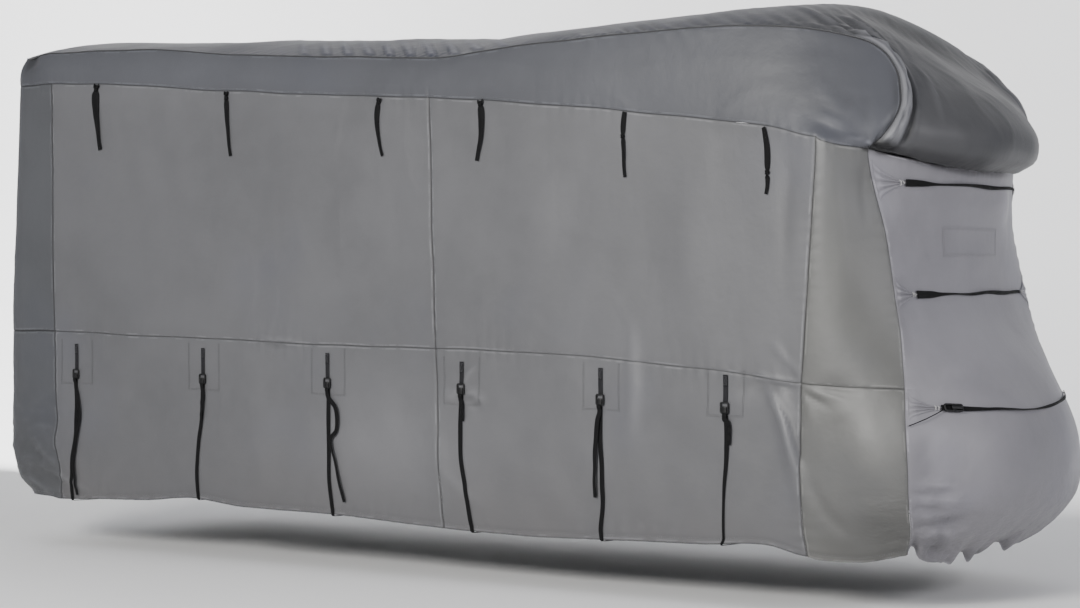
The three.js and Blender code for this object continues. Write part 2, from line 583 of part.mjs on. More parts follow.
// Ties: a short length of webbing that hangs free from the hood seam.
function tieSteps({ x, top: root, endX, end, wide }, far) {
  return span(0, 1, 7).map((t) => {
    const bend = Math.sin(Math.PI * t) * 0.35 * wide;
    const step = besideWall(lerp(x, endX, t) - bend, lerp(root, end, t), WEBBING_LIFT + 3 * t, far);
    const width = wide * lerp(0.62, 1, Math.sin(Math.PI * lerp(0.05, 0.75, t)));
    return { ...step, wide: width };
  });
}
TIES.forEach((tie, index) => {
  addPiece(`tie_${index + 1}_R`, ribbonGeometry(tieSteps(tie, false), TIE_THICK), 'webbing');
  addPiece(`tie_${index + 1}_L`, ribbonGeometry(tieSteps(tie, true), TIE_THICK), 'webbing');
});

// Belly straps: up the far side's skirt, under the vehicle, up the near side to the buckle, round its
// bar and down again as the free tail.
function bellyStrapSteps({ x, head, buckle, hemX, tailX, tail }) {
  const steps = [];
  const put = (point, out, wide = WEBBING) => steps.push({ point, out, wide });
  const side = (sideX, z, lift, far) => {
    const { point, out } = besideWall(sideX, z, lift, far);
    put(point, out);
  };
  const low = level(placeOfX(hemX, HEM_LOOK), 'hem') - HEM_CLEAR;
  span(head, low + TURN.far, 5).forEach((z) => side(lerp(x, hemX, (head - z) / (head - low)), z, WEBBING_LIFT, true));
  const farEdge = besideWall(hemX, low + TURN.edge, WEBBING_LIFT, true);
  const nearEdge = besideWall(hemX, low + TURN.edge, WEBBING_LIFT, false);
  const roundEdge = ({ point }, way) => {
    const corner = new THREE.Vector3(point.x, point.y - way * TURN.round, low - WEBBING_THICK);
    put(corner, new THREE.Vector3(0, 0.8 * way, -0.6));
  };
  put(farEdge.point.clone(), farEdge.out);
  roundEdge(farEdge, 1);
  span(-1, 1, 6).forEach((t) => {
    const y = -t * (farEdge.point.y - TURN.under);
    const z = low - 5 * WEBBING_THICK - BELLY_SAG * (1 - t * t);
    put(new THREE.Vector3(hemX, y, z), new THREE.Vector3(0, 0, -1));
  });
  roundEdge(nearEdge, -1);
  put(nearEdge.point.clone(), nearEdge.out);
  const stop = buckle - BUCKLE.tall / 2 - TURN.round;
  span(low + TURN.near, stop, 5).forEach((z) => {
    side(lerp(hemX, x, (z - low) / (stop - low)), z, WEBBING_LIFT, false);
  });
  const turn = steps[steps.length - 1];
  const half = 2 * WEBBING_THICK;
  put(turn.point.clone().add(new THREE.Vector3(0, -half, half)), new THREE.Vector3(0, 0.2, 1));
  put(turn.point.clone().add(new THREE.Vector3(0, -2 * half, 0)), new THREE.Vector3(0, 1, 0));
  span(stop - TURN.under, tail, 5).forEach((z, i) => {
    const t = (stop - z) / (stop - tail);
    const { point } = besideWall(lerp(x, tailX, Math.sin(t * Math.PI / 2)), z, WEBBING_LIFT + TAIL_LIFT, false);
    put(point, new THREE.Vector3(0, 1, 0), lerp(WEBBING, WEBBING - 4, i / 5));
  });
  return steps;
}

// A buckle: a rounded frame with two slots and a bar between, lying on the skirt.
function buckleGeometry({ wide, tall, thick, bar }) {
  const round = 8;
  const rounded = (path, w, h, r) => {
    path.moveTo(-w / 2 + r, -h / 2);
    path.lineTo(w / 2 - r, -h / 2);
    path.absarc(w / 2 - r, -h / 2 + r, r, -Math.PI / 2, 0, false);
    path.absarc(w / 2 - r, h / 2 - r, r, 0, Math.PI / 2, false);
    path.absarc(-w / 2 + r, h / 2 - r, r, Math.PI / 2, Math.PI, false);
    path.absarc(-w / 2 + r, -h / 2 + r, r, Math.PI, Math.PI * 1.5, false);
    return path;
  };
  const frame = rounded(new THREE.Shape(), wide, tall, round);
  const slotTall = tall / 2 - 1.5 * bar;
  [-1, 1].forEach((half) => {
    const slot = new THREE.Path();
    const middle = half * (slotTall / 2 + bar / 2);
    const halfWide = wide / 2 - bar;
    slot.moveTo(-halfWide, middle - slotTall / 2);
    slot.lineTo(-halfWide, middle + slotTall / 2);
    slot.lineTo(halfWide, middle + slotTall / 2);
    slot.lineTo(halfWide, middle - slotTall / 2);
    slot.closePath();
    frame.holes.push(slot);
  });
  const geometry = new THREE.ExtrudeGeometry(frame, { depth: thick, bevelEnabled: false, curveSegments: 2 });
  geometry.translate(0, 0, -thick / 2);
  geometry.rotateX(Math.PI / 2);
  return geometry;
}

STRAPS.forEach((strap, index) => {
  const number = index + 1;
  addPiece(`belly_strap_${number}`, ribbonGeometry(bellyStrapSteps(strap), WEBBING_THICK), 'webbing');
  const seat = besideWall(strap.x, strap.buckle, WEBBING_LIFT + 6, false).point;
  const buckle = buckleGeometry(BUCKLE);
  buckle.translate(seat.x, seat.y, seat.z);
  addPiece(`buckle_${number}`, buckle, 'plastic');
  const headSteps = span(strap.head, strap.buckle + BUCKLE.tall / 2 + 4, 3).map((z) => (
    { ...besideWall(strap.x, z, WEBBING_LIFT, false), wide: WEBBING }
  ));
  addPiece(`strap_head_${number}`, ribbonGeometry(headSteps, WEBBING_THICK), 'webbing');
});

// Front straps: a length of webbing from the tip of one tab to the other, wide where it is doubled.
function frontStrapSteps({ z, sag, tip, wideEnd, wideMid }) {
  return span(-tip + 0.02, tip - 0.02, 14).map((u) => {
    const share = Math.abs(u) / tip;
    const height = z - sag * (1 - share * share);
    const step = onSurface(frontAt, u, height, STRAP_LIFT);
    return { ...step, wide: lerp(wideMid, wideEnd, smoothstep(share, 0.62, 0.86)) };
  });
}

// Tabs: a gathered triangle of cloth from the cab corner seam to the strap.
function tabGrid({ z, tip, half, root }, far) {
  return span(0, 1, 4).map((t) => span(0, 1, 4).map((w) => {
    const share = lerp(TAB_ROOT_SHARE, tip, t);
    const high = lerp(root[0], z + half * 0.3, Math.sqrt(t));
    const low = lerp(root[1], z - half * 0.3, Math.sqrt(t));
    const shrink = lerp(1, TAB_TIP / half, t * t);
    const height = lerp(lerp(low, z, 1 - shrink), lerp(high, z, 1 - shrink), w);
    const pleat = w === 0.5 ? 5 * (1 - t) : 0;
    return onSurface(frontAt, far ? share : -share, height, TAB_LIFT + CLOTH + pleat);
  }));
}

FRONT_STRAPS.forEach((strap, index) => {
  const number = index + 1;
  addPiece(`front_strap_${number}`, ribbonGeometry(frontStrapSteps(strap), WEBBING_THICK), 'webbing');
  addPiece(`front_tab_${number}_R`, sheetGeometry(tabGrid(strap, false), CLOTH, 0), 'front');
  addPiece(`front_tab_${number}_L`, sheetGeometry(tabGrid(strap, true).reverse(), CLOTH, 0), 'front');
});

// The adjuster lies over the lowest front strap near its tab.
const lowest = FRONT_STRAPS[FRONT_STRAPS.length - 1];
const adjusterSteps = span(0, 1, 3).map((t) => {
  const u = -lerp(ADJUSTER.share, ADJUSTER.share - ADJUSTER.long / outline(lowest.z, 'cabY'), t);
  const share = Math.abs(u) / lowest.tip;
  const lift = STRAP_LIFT + WEBBING_THICK + ADJUSTER.thick / 2;
  const step = onSurface(frontAt, u, lowest.z - lowest.sag * (1 - share * share), lift);
  return { ...step, wide: ADJUSTER.wide };
});
addPiece('front_adjuster', ribbonGeometry(adjusterSteps, ADJUSTER.thick), 'plastic');

// The patch on the front panel, bare cloth.
const patchGrid = span(PATCH.left, PATCH.right, 6).map((u) => (
  span(PATCH.low, PATCH.high, 2).map((z) => onSurface(frontAt, u, z, PATCH.lift + CLOTH))
));
addPiece('front_patch', sheetGeometry(patchGrid, CLOTH, 0), 'front');

// The origin is the support under the middle of the roof.
const roof = new THREE.Raycaster(
  new THREE.Vector3(SUPPORT_X, 1, 0),
  new THREE.Vector3(0, 0, 1),
);
MATERIALS.hood.side = THREE.DoubleSide;
const underRoof = roof.intersectObject(model.getObjectByName('top_panel'))[0].point.z;
MATERIALS.hood.side = THREE.FrontSide;
model.position.set(-SUPPORT_X, 0, -(underRoof - SUPPORT_GAP));

export default model;
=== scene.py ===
"""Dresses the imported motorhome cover: coated cloth panels with their wrinkles, seams, straps and ties."""
import math

import bpy
import numpy as np
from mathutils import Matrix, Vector
from mathutils.bvhtree import BVHTree


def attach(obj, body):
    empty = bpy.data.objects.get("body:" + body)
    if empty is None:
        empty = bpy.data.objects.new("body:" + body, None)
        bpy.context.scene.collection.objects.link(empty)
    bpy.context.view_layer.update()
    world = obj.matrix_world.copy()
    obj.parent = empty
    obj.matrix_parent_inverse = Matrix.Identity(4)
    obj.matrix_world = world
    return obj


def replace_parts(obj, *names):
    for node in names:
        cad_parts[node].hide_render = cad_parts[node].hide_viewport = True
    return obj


bl_info = {
    "name": "Motorhome cover",
    "version": (1, 0, 0),
    "blender": (4, 5, 0),
    "location": "3D View > Sidebar > Cover",
    "description": "Builds a fitted motorhome cover, panel by panel, on its packed frame",
    "category": "Object",
}

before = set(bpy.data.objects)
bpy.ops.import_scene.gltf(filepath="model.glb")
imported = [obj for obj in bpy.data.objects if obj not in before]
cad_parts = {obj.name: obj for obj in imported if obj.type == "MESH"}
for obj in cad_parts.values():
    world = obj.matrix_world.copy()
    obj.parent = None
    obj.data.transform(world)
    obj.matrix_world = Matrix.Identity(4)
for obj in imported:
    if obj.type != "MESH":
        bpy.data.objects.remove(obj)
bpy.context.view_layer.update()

# The tables are in millimetres, with x from the front axle and z from the ground, and the row's origin
# is the support under the roof.
MM = 0.001
SUPPORT = np.array([-2150.0, 0.0, 3142.8])
# The shape of the shell: how much the nose stands askew, how far its far side sags, how far the middle
# of the back stands out, the depth and the power of the back's round corners, how far the band swells at
# the sides and at the cheeks, and how far the lip's end lies above the front panel in the middle.
SKEW = 0.05
FAR_SAG = 46
BACK_BOW = 26
BACK_CORNER_DEPTH = 300
BACK_CORNER_POWER = 3.6
BULGE_SIDE, BULGE_CHEEK = 16, 34
LIP_RISE = 4

# Places s round the wall: 0 is the middle of the back, and a negative place is on the far side. These are
# the end of the back's round corner, the upright seams, and the end of the lip that turns under the nose.
CORNER, BACK_SEAM, MIDDLE_SEAM, FRONT_SEAM, CAB_SEAM, LIP_END = 1, 2, 6, 10, 16, 17
# A small step between places, for a direction, and the height at which places are spaced.
NEAR = 0.04
MIDDLE_HEIGHT = 1600

# Lengths that the spacing of the points up and across is worked out for.
SKIRT_TALL, UPPER_TALL, BAND_TALL, HALF_ACROSS = 1040, 1500, 430, 1180

# How many waves the noise in the cloth is made of.
WAVES = 12

# The slant of the nose's pleats, the clear space beside a seam, a distance with no puckers, the depth of
# the hem's fold, and the distances of the rows of stitches from a seam or a hem.
LEAN = 0.95
SEAM_GAP = 0.7
FAR_OFF = 1e4
HEM_DEEP = 30
SEAM_ROW = 8
HOOD_ROWS, HEM_ROWS, FRONT_HEM_ROWS = (7, 15), (26, 33), (22, 30)

# Webbing: its width and thickness, the room for its turn round an edge, how far below the hem it runs, the
# height at which the hem over it is looked up, and its sag below the cover.
WEBBING, WEBBING_THICK = 27, 2.0
TURN_ROUND = 6
HEM_CLEAR = 5
HEM_LOOK = 330
BELLY_SAG = 20

# The spacing of the cloth's threads, and of the webbing's ribs and slanting cords, in metres.
THREADS = 0.0018
RIBS, CORDS_ACROSS, CORDS_ALONG = 0.0024, 0.0032, 0.0048


class Table:
    """Rows of sizes read by a smooth curve through them. The first column is what they are read by."""

    def __init__(self, columns, rows):
        values = np.array(rows, float)
        self.at = values[:, 0]
        self.columns = {name: values[:, i] for i, name in enumerate(columns.split())}

    def levels(self, place):
        """Heights of the hem, the skirt seam and the hood seam."""
        return (self.read(place, name) for name in ("hem", "skirt", "tie"))

    def read(self, place, column):
        at, value = self.at, self.columns[column]
        last = len(at) - 1
        place = np.clip(np.asarray(place, float), at[0], at[last])
        before = np.maximum(np.arange(last + 1) - 1, 0)
        after = np.minimum(np.arange(last + 1) + 1, last)
        slope = (value[after] - value[before]) / (at[after] - at[before])
        i = np.clip(np.searchsorted(at, place, side="left") - 1, 0, last - 1)
        span = at[i + 1] - at[i]
        u = (place - at[i]) / span
        rise = u * u * (3 - 2 * u)
        return (
            value[i] + (value[i + 1] - value[i]) * rise
            + span * u * (1 - u) * (slope[i] * (1 - u) - slope[i + 1] * u)
        )


# Plan outline of the walls at each height.
OUTLINE = Table("z back side front_seam cab_x cab_y front", [
    (190, -5330, 1104, 422, 858, 880, 1000),
    (320, -5392, 1120, 414, 892, 925, 1120),
    (430, -5492, 1132, 398, 935, 980, 1236),
    (560, -5545, 1140, 392, 957, 1040, 1325),
    (760, -5556, 1144, 391, 955, 1060, 1350),
    (1000, -5556, 1145, 393, 932, 1040, 1290),
    (1250, -5555, 1145, 398, 890, 965, 1118),
    (1550, -5552, 1146, 418, 822, 890, 912),
    (1900, -5545, 1144, 438, 747, 860, 880),
    (2150, -5536, 1141, 452, 702, 895, 902),
    (2385, -5526, 1137, 468, 678, 950, 918),
    (2950, -5503, 1130, 488, 660, 960, 866),
])

# Heights of the hem, the skirt seam and the hood seam at each place s round the wall.
LEVELS = Table("s hem skirt tie", [
    (0, 322, 1371, 2948), (1, 318, 1374, 2950), (2, 303, 1375, 2952), (2.5, 322, 1366, 2934),
    (3, 336, 1357, 2910), (3.5, 370, 1350, 2874), (4, 338, 1347, 2843), (5, 330, 1327, 2790),
    (6, 301, 1322, 2742), (7, 292, 1312, 2692), (8, 306, 1288, 2632), (9, 321, 1248, 2558),
    (9.6, 342, 1214, 2500), (10, 298, 1188, 2448), (12, 278, 1178, 2416), (14, 284, 1172, 2398),
    (16, 318, 1163, 2385),
])

# The piped seam round the top, the middle of the top beside it, and the power of the crown between them.
TOP = Table("s x y z mid_x mid_z crown", [
    (1, -5228, 1085, 3140, -5462, 3118, 2.6),
    (1.33, -5166, 1085, 3146, -5422, 3226, 2.8),
    (1.66, -5102, 1085, 3150, -5306, 3268, 2.7),
    (2, -5038, 1085, 3152, -5130, 3282, 2.5),
    (3, -4273, 1085, 3134, -4290, 3234, 2.4),
    (4, -3508, 1085, 3068, -3508, 3213, 2.4),
    (5, -2743, 1085, 3019, -2743, 3178, 2.4),
    (6, -1978, 1085, 2974, -1978, 3152, 2.4),
    (6.5, -1665, 1085, 2987, -1665, 3172, 2.4),
    (7, -1353, 1085, 3013, -1353, 3184, 2.4),
    (8, -728, 1082, 3036, -728, 3203, 2.4),
    (9, -103, 1050, 3049, -103, 3230, 2.3),
    (9.5, 240, 995, 3028, 190, 3222, 2.2),
    (10, 500, 890, 2982, 392, 3138, 2.2),
    (11, 655, 780, 2918, 550, 3010, 2.0),
    (12, 735, 750, 2815, 705, 2876, 2.0),
    (13, 780, 785, 2700, 858, 2762, 2.0),
    (14, 803, 840, 2597, 1006, 2650, 2.0),
    (15, 772, 905, 2490, 1126, 2484, 2.2),
    (15.5, 728, 928, 2436, 1112, 2352, 2.3),
    (16, 680, 948, 2405, 984, 2288, 2.4),
])

# The front panel's heights, and the power of its bow: u is 0 in the middle and 1 at the cab corner seam.
FRONT = Table("u hem skirt tie bow", [
    (0, 244, 1163, 2302, 2.3), (0.5, 248, 1163, 2316, 2.3), (0.8, 270, 1163, 2350, 2.3),
    (1, 318, 1163, 2385, 2.3),
])

# Main folds: x, y and z of the three points that a ridge runs along, its width and its rise, which is
# negative for a trough.
FOLDS = [
    (238, -1144, 1225, 325, -1142, 920, 385, -1138, 600, 46, 26),
    (290, -1144, 1180, 140, -1145, 1160, -20, -1145, 1110, 60, -12),
    (640, -1090, 1010, 760, -1060, 860, 800, -1050, 640, 150, 24),
    (520, -1130, 1100, 560, -1120, 1150, 720, -1070, 1140, 60, -14),
    (560, -1120, 420, 700, -1080, 330, 840, -1000, 330, 70, 14),
    (-5250, -1120, 800, -5080, -1140, 760, -4800, -1144, 790, 70, 12),
    (-5420, -1000, 520, -5200, -1130, 430, -4960, -1140, 500, 60, -14),
    (-4500, -1140, 760, -4200, -1144, 700, -3900, -1144, 720, 90, -10),
    (-1940, -1144, 1000, -1900, -1144, 700, -1890, -1140, 330, 50, 9),
    (-3400, -1144, 1330, -3300, -1144, 900, -3200, -1140, 350, 120, 10),
    (-1300, -1145, 2500, -1240, -1145, 1900, -1250, -1145, 1400, 160, 10),
    (-3000, -1145, 2600, -2950, -1145, 2000, -2980, -1145, 1450, 200, 9),
    (-300, -1145, 2400, -200, -1145, 1900, -240, -1145, 1400, 150, 10),
    (950, -960, 560, 1060, -800, 480, 1160, -600, 520, 55, -22),
    (960, -960, 450, 1040, -820, 380, 1120, -640, 400, 45, 20),
    (930, -960, 700, 1060, -860, 640, 1160, -700, 660, 60, -14),
    (960, 940, 560, 1060, 800, 480, 1160, 600, 520, 55, -20),
    (930, 960, 430, 1040, 820, 380, 1120, 640, 400, 45, 18),
    (850, -860, 1640, 900, -700, 1640, 940, -500, 1640, 90, -12),
    (740, -890, 2210, 800, -740, 2215, 840, -520, 2215, 80, -10),
    (960, -980, 1070, 1050, -860, 1060, 1160, -600, 1040, 90, -14),
    (300, 1140, 1230, 380, 1135, 900, 420, 1130, 560, 50, 20),
    (640, 1090, 1000, 740, 1060, 820, 800, 1050, 620, 150, 22),
    (-5440, 700, 700, -5540, 300, 640, -5550, -300, 690, 90, -14),
    (-5540, 500, 2500, -5545, 450, 1900, -5550, 480, 1450, 160, 10),
    (-5540, -400, 2500, -5545, -380, 1900, -5550, -430, 1450, 160, 9),
    (-4000, 1145, 2500, -3950, 1145, 1900, -3980, 1145, 1450, 180, 10),
    (-900, 1145, 2500, -840, 1145, 1900, -870, 1145, 1400, 180, 10),
    (-2600, 1140, 1250, -2500, 1144, 800, -2560, 1140, 350, 110, 10),
    (-4500, -300, 3270, -4400, 100, 3265, -4450, 500, 3240, 90, -12),
    (-1950, -700, 3100, -1980, 0, 3152, -1950, 700, 3100, 160, -14),
]

# Finer folds, which only the dressed cloth has.
FINE_FOLDS = [
    (190, -1145, 1211, 311, -1145, 987, 379, -1144, 744, 23, 17),
    (232, -1145, 1182, 345, -1145, 960, 396, -1144, 780, 21, -11),
    (142, -1145, 1238, 230, -1145, 1206, 380, -1145, 1182, 20, 7),
    (150, -1145, 1190, 250, -1145, 1172, 385, -1145, 1162, 20, -7),
    (395, -1145, 1190, 330, -1145, 1290, 224, -1146, 1394, 20, 7),
    (392, -1145, 1188, 350, -1145, 1240, 300, -1145, 1360, 21, -6),
    (400, -1145, 1165, 505, -1139, 1135, 625, -1118, 1112, 18, 8),
    (405, -1144, 1156, 490, -1139, 1100, 560, -1128, 1060, 16, -7),
    (402, -1144, 1150, 440, -1141, 1060, 470, -1136, 960, 15, 6),
    (-588, -1146, 1446, -569, -1145, 1156, -587, -1145, 872, 42, 10),
    (-1868, -1145, 1072, -1800, -1145, 1062, -1750, -1145, 1090, 16, 12),
    (-1722, -1145, 1098, -1650, -1145, 1072, -1570, -1145, 1040, 16, 13),
    (-1715, -1145, 1062, -1660, -1145, 1036, -1590, -1145, 1000, 15, -11),
    (-1722, -1145, 1120, -1690, -1145, 1180, -1640, -1145, 1220, 15, 8),
    (-3270, -1145, 1332, -3134, -1145, 1322, -2990, -1145, 1326, 15, -9),
    (-3250, -1145, 1362, -3100, -1145, 1352, -2930, -1145, 1354, 16, 7),
    (677, -952, 2400, 640, -1010, 2430, 605, -1062, 2452, 13, 7),
    (675, -955, 2415, 640, -985, 2480, 605, -1036, 2533, 13, -8),
    (690, -935, 2408, 774, -868, 2412, 860, -780, 2398, 15, 9),
    (700, -920, 2398, 751, -825, 2368, 822, -684, 2345, 14, -9),
    (715, -918, 2432, 790, -850, 2444, 866, -770, 2462, 15, -9),
    (30, -560, 3180, 359, -780, 3062, 612, -790, 2945, 22, 20),
    (-60, -420, 3195, 330, -640, 3092, 520, -735, 3012, 20, -16),
    (360, -600, 3103, 560, -640, 2990, 712, -680, 2855, 18, 26),
    (330, -540, 3120, 560, -590, 2985, 700, -600, 2870, 15, -14),
    (754, -474, 2814, 878, -554, 2672, 952, -619, 2533, 17, 9),
    (772, -410, 2792, 895, -480, 2650, 968, -540, 2520, 15, 6),
    (430, -1056, 2705, 500, -1034, 2655, 560, -1034, 2610, 18, 9),
    (520, -1040, 2700, 580, -1010, 2650, 620, -1000, 2590, 18, -8),
    (650, -960, 2660, 665, -965, 2600, 680, -975, 2530, 22, -10),
    (438, -1089, 2560, 520, -1070, 2530, 603, -1037, 2480, 18, 7),
    (972, -1038, 690, 1050, -950, 684, 1130, -824, 680, 17, 11),
    (972, -1036, 655, 1050, -945, 650, 1120, -830, 640, 16, -12),
    (970, -1034, 612, 1060, -930, 600, 1140, -790, 600, 17, 12),
    (970, -1030, 572, 1050, -930, 566, 1110, -830, 560, 16, -12),
    (968, -1025, 530, 1050, -910, 520, 1100, -830, 528, 17, 10),
    (962, -1000, 470, 1040, -880, 470, 1120, -740, 500, 19, -11),
    (985, -940, 425, 1030, -850, 452, 1088, -700, 392, 19, 16),
    (985, -930, 385, 1030, -840, 405, 1080, -700, 350, 17, -16),
    (-5195, -1143, 687, -5090, -1141, 590, -4960, -1136, 480, 18, 10),
    (-5153, -1139, 535, -4978, -1134, 455, -4700, -1126, 370, 16, 9),
    (-5170, -1139, 500, -5010, -1133, 430, -4900, -1128, 385, 15, -9),
    (-5210, -1141, 640, -5120, -1138, 545, -5000, -1135, 470, 15, -9),
    (-5120, -1142, 780, -5060, -1142, 700, -4990, -1141, 650, 14, 7),
    (430, -1138, 700, 520, -1128, 540, 640, -1100, 420, 34, -7),
    (-5520, -700, 900, -5440, -980, 820, -5230, -1120, 690, 24, -7),
    (-5530, -500, 700, -5450, -950, 640, -5200, -1125, 560, 20, 6),
    (-5480, -850, 560, -5330, -1080, 520, -5060, -1135, 610, 22, -7),
    (-5420, -900, 430, -5240, -1100, 400, -5000, -1130, 380, 20, 5),
    (-1870, -1144, 640, -1780, -1144, 560, -1640, -1142, 470, 30, 6),
    (330, -1143, 2380, 300, -1144, 2050, 310, -1144, 1650, 44, -6),
    (560, -1110, 2300, 590, -1090, 2000, 600, -1080, 1600, 40, 6),
    (690, -970, 2330, 680, -980, 2200, 690, -970, 2000, 26, -6),
    (880, -780, 1000, 1000, -740, 940, 1120, -620, 930, 40, -7),
    (900, -820, 1180, 980, -700, 1220, 1040, -520, 1240, 40, 6),
    (300, -420, 3165, 480, -60, 3075, 600, 300, 2950, 170, -30),
    (730, 700, 2800, 800, 790, 2670, 840, 850, 2540, 90, 26),
    (880, 300, 2230, 885, 400, 2120, 870, 420, 2000, 90, 18),
    (-5320, -980, 3140, -5270, -1080, 3105, -5235, -1120, 3040, 80, -34),
]

# Painted light and shade on the cloth: a place, its reach and its share, which paints a highlight where it is
# positive and shade where it is negative.
PAINTED_LIGHT_SPOTS = [
    ((798, -1030, 925), (110, 220, 170), 0.20),
    ((745, -1060, 455), (270, 270, 190), -0.36),
    ((1000, -1000, 800), (60, 70, 140), -0.30),
    ((1030, -880, 480), (170, 260, 190), -0.16),
    ((1000, -800, 352), (110, 130, 62), -0.34),
    ((1080, -330, 268), (140, 230, 34), -0.6),
    ((1080, 250, 250), (160, 260, 36), -0.6),
    ((1100, -300, 1480), (400, 500, 330), 0.17),
    ((-2285, -1144, 773), (560, 300, 300), 0.23),
    ((-4000, -1110, 2980), (900, 300, 200), 0.12),
    ((-5330, -700, 3060), (170, 600, 260), -0.16),
    ((350, -1080, 2750), (420, 200, 260), -0.16),
    ((675, -965, 2385), (26, 34, 12), -1.6),
    ((689, -970, 2416), (14, 22, 10), 1.1),
    ((700, -930, 2436), (16, 24, 12), 1.0),
    ((724, -872, 2404), (44, 56, 34), -2.6),
    ((-300, -1145, 2300), (260, 300, 420), -0.14),
    ((-1100, -1145, 1700), (380, 300, 500), 0.02),
]

# How far the gathered hem of the front is pulled up at each place u across it.
HEM_LIFTS = Table("u lift", [
    (-1, 30), (-0.975, 44), (-0.93, 4), (-0.86, -6), (-0.75, -8), (-0.65, -3), (-0.60, 26), (-0.555, 40),
    (-0.52, 6), (-0.485, -8), (-0.455, -2), (-0.43, 32), (-0.40, 20), (-0.33, 14), (-0.29, 40), (-0.2, 60),
    (-0.1, 50), (-0.05, 18), (0.05, 10), (0.12, 22), (0.3, 26), (0.5, 34), (0.65, 40), (0.85, 12), (1, 0),
])

# The rolled fold of the nose cloth beside the piped seam.
ROLL_FROM, ROLL_PEAK, ROLL_LOW, ROLL_END = 9.2, 11.2, 15.5, 16
ROLL_WIDE = 84
ROLL_NEAR, ROLL_FAR = 26, 5

# How far the rear corner seam wanders out of line, by height.
SEAM_DRIFT = Table("z x", [
    (300, 8), (430, 7), (520, 0), (600, -15), (685, -19), (735, 0), (790, 15), (860, 10), (950, 2),
    (1100, -5), (1250, -2), (1375, 0),
])


def named(columns, rows):
    """Rows of values, each as a dictionary under the names of its columns."""
    return [dict(zip(columns.split(), row)) for row in rows]


# Ties that hang from the hood seam: x and height at the root, x and height at the end, width, how far
# the middle bows towards the rear, the place of the knot as a share of the length, and half twists.
TIES = named("x top end_x end wide bow knot twist", [
    (-4620, 2924, -4584, 2518, 56, 22, 0.07, 0),
    (-3520, 2838, -3484, 2451, 36, 10, 0.09, 0),
    (-2333, 2752, -2309, 2421, 34, 30, 0.06, 0),
    (-1610, 2706, -1626, 2374, 42, -14, 0.05, 0),
    (-636, 2615, -630, 2262, 30, 12, 0.38, 0),
    (184, 2498, 197, 2158, 32, -18, 0.66, 1),
])

# Belly straps: x, the heights of the sewn head and the buckle, x at the hem, half the width and the drop
# of the stitched square behind the head, how much narrower the strap looks low down, and the heights and
# places that the strap and its free tail hang through.
STRAPS = named("x head buckle hem_x half drop thin run tail", [
    (
        -4798, 1296, 1108, -4870, 138, 252, 0.06,
        [(370, -4868), (557, -4844), (791, -4802), (1094, -4800)],
        [
            (340, -4812), (459, -4818), (558, -4822), (717, -4790), (841, -4762), (1000, -4782),
            (1090, -4798),
        ],
    ),
    (
        -3704, 1290, 1104, -3764, 128, 256, 0.06,
        [(385, -3764), (574, -3758), (857, -3720), (1063, -3704)],
        [(860, -3714), (1000, -3698), (1080, -3704)],
    ),
    (
        -2716, 1279, 1104, -2704, 132, 246, 0.06,
        [(355, -2706), (783, -2713), (1093, -2714)],
        [
            (415, -2598), (649, -2655), (782, -2688), (828, -2646), (944, -2640), (1020, -2684),
            (1080, -2712),
        ],
    ),
    (
        -1736, 1248, 1098, -1680, 128, 240, 0.06,
        [(350, -1684), (536, -1710), (761, -1743), (1052, -1736)],
        [(920, -1720), (1000, -1724), (1070, -1736)],
    ),
    (
        -788, 1236, 1066, -800, 118, 228, 0.06,
        [(360, -800), (536, -776), (798, -788), (1032, -790)],
        [(536, -820), (752, -816), (944, -800), (1040, -790)],
    ),
    (
        -30, 1218, 1046, -48, 104, 218, 0.5,
        [(360, -48), (649, -32), (857, -14), (1046, -30)],
        [(857, 0), (950, -2), (1030, -26)],
    ),
])
# The moulded fittings, and the places across the front that the adjuster lies between.
BUCKLE = {"wide": 52, "tall": 62, "thick": 12, "bar": 7}
ADJUSTER = {"wide": 42, "tall": 118, "thick": 14, "bar": 8}
ADJUSTER_SPAN = (0.81, 0.755, 0.70)

# Front straps by height: the sag, where the tab's tip is across the front, half the tab's height there,
# the heights of its root, and the strap's width at its near end and in the middle.
FRONT_STRAPS = named("z sag tip half root_high root_low end middle", [
    (2215, 2, 0.79, 58, 2330, 2120, 38, 17),
    (1640, 4, 0.79, 44, 1735, 1560, 38, 17),
    (1068, 34, 0.82, 34, 1140, 1010, 22, 16),
])
# Where the tabs' root is across the front, and how many pleats they have.
TAB_ROOT_SHARE = 0.985
TAB_PLEATS = 3.5
PATCH = {"left": -0.48, "right": 0.31, "low": 1838, "high": 1992}
# About half the width of the front, for sizes given as shares of it.
ABOUT_HALF = 1000

# The photograph's camera, from the front axle and the ground, in metres.
CAMERA_PLACE = (6.7757, -12.3004, 1.77306)
CAMERA_AZIMUTH = 35.5437
CAMERA_PITCH = 0.8121
FOCAL_PIXELS = 2496.766
PHOTO_WIDTH = 1080
SENSOR = 36

# The floor, in metres from the middle of the cover as the camera sees it: half its width, its rows
# before it turns up, where the bend starts, the bend's radius and the height of the backdrop.
FLOOR_HALF = 22
FLOOR_ROWS = (-26, -10, 0)
BEND_FROM, BEND = 9, 5
BACKDROP_TALL = 16


def lerp(a, b, t):
    return a + (b - a) * t


def part_way(x, low, high):
    """0 at low and 1 at high."""
    return (np.asarray(x, float) - low) / (high - low)


def smoothstep(x, low, high):
    t = np.clip(part_way(x, low, high), 0, 1)
    return t * t * (3 - 2 * t)


def window(x, low, full, ending, high):
    """0 up to low, 1 from full to ending and 0 again from high."""
    return smoothstep(x, low, full) * (1 - smoothstep(x, ending, high))


def bell(x, reach):
    """1 in the middle, falling smoothly to nothing past the reach."""
    return np.exp(-((x / reach) ** 2))


def unit(vectors):
    return vectors / np.maximum(np.linalg.norm(vectors, axis=-1, keepdims=True), 1e-9)


def alike(*values):
    """The values as arrays of numbers of one shape."""
    return np.broadcast_arrays(*(np.asarray(value, float) for value in values))


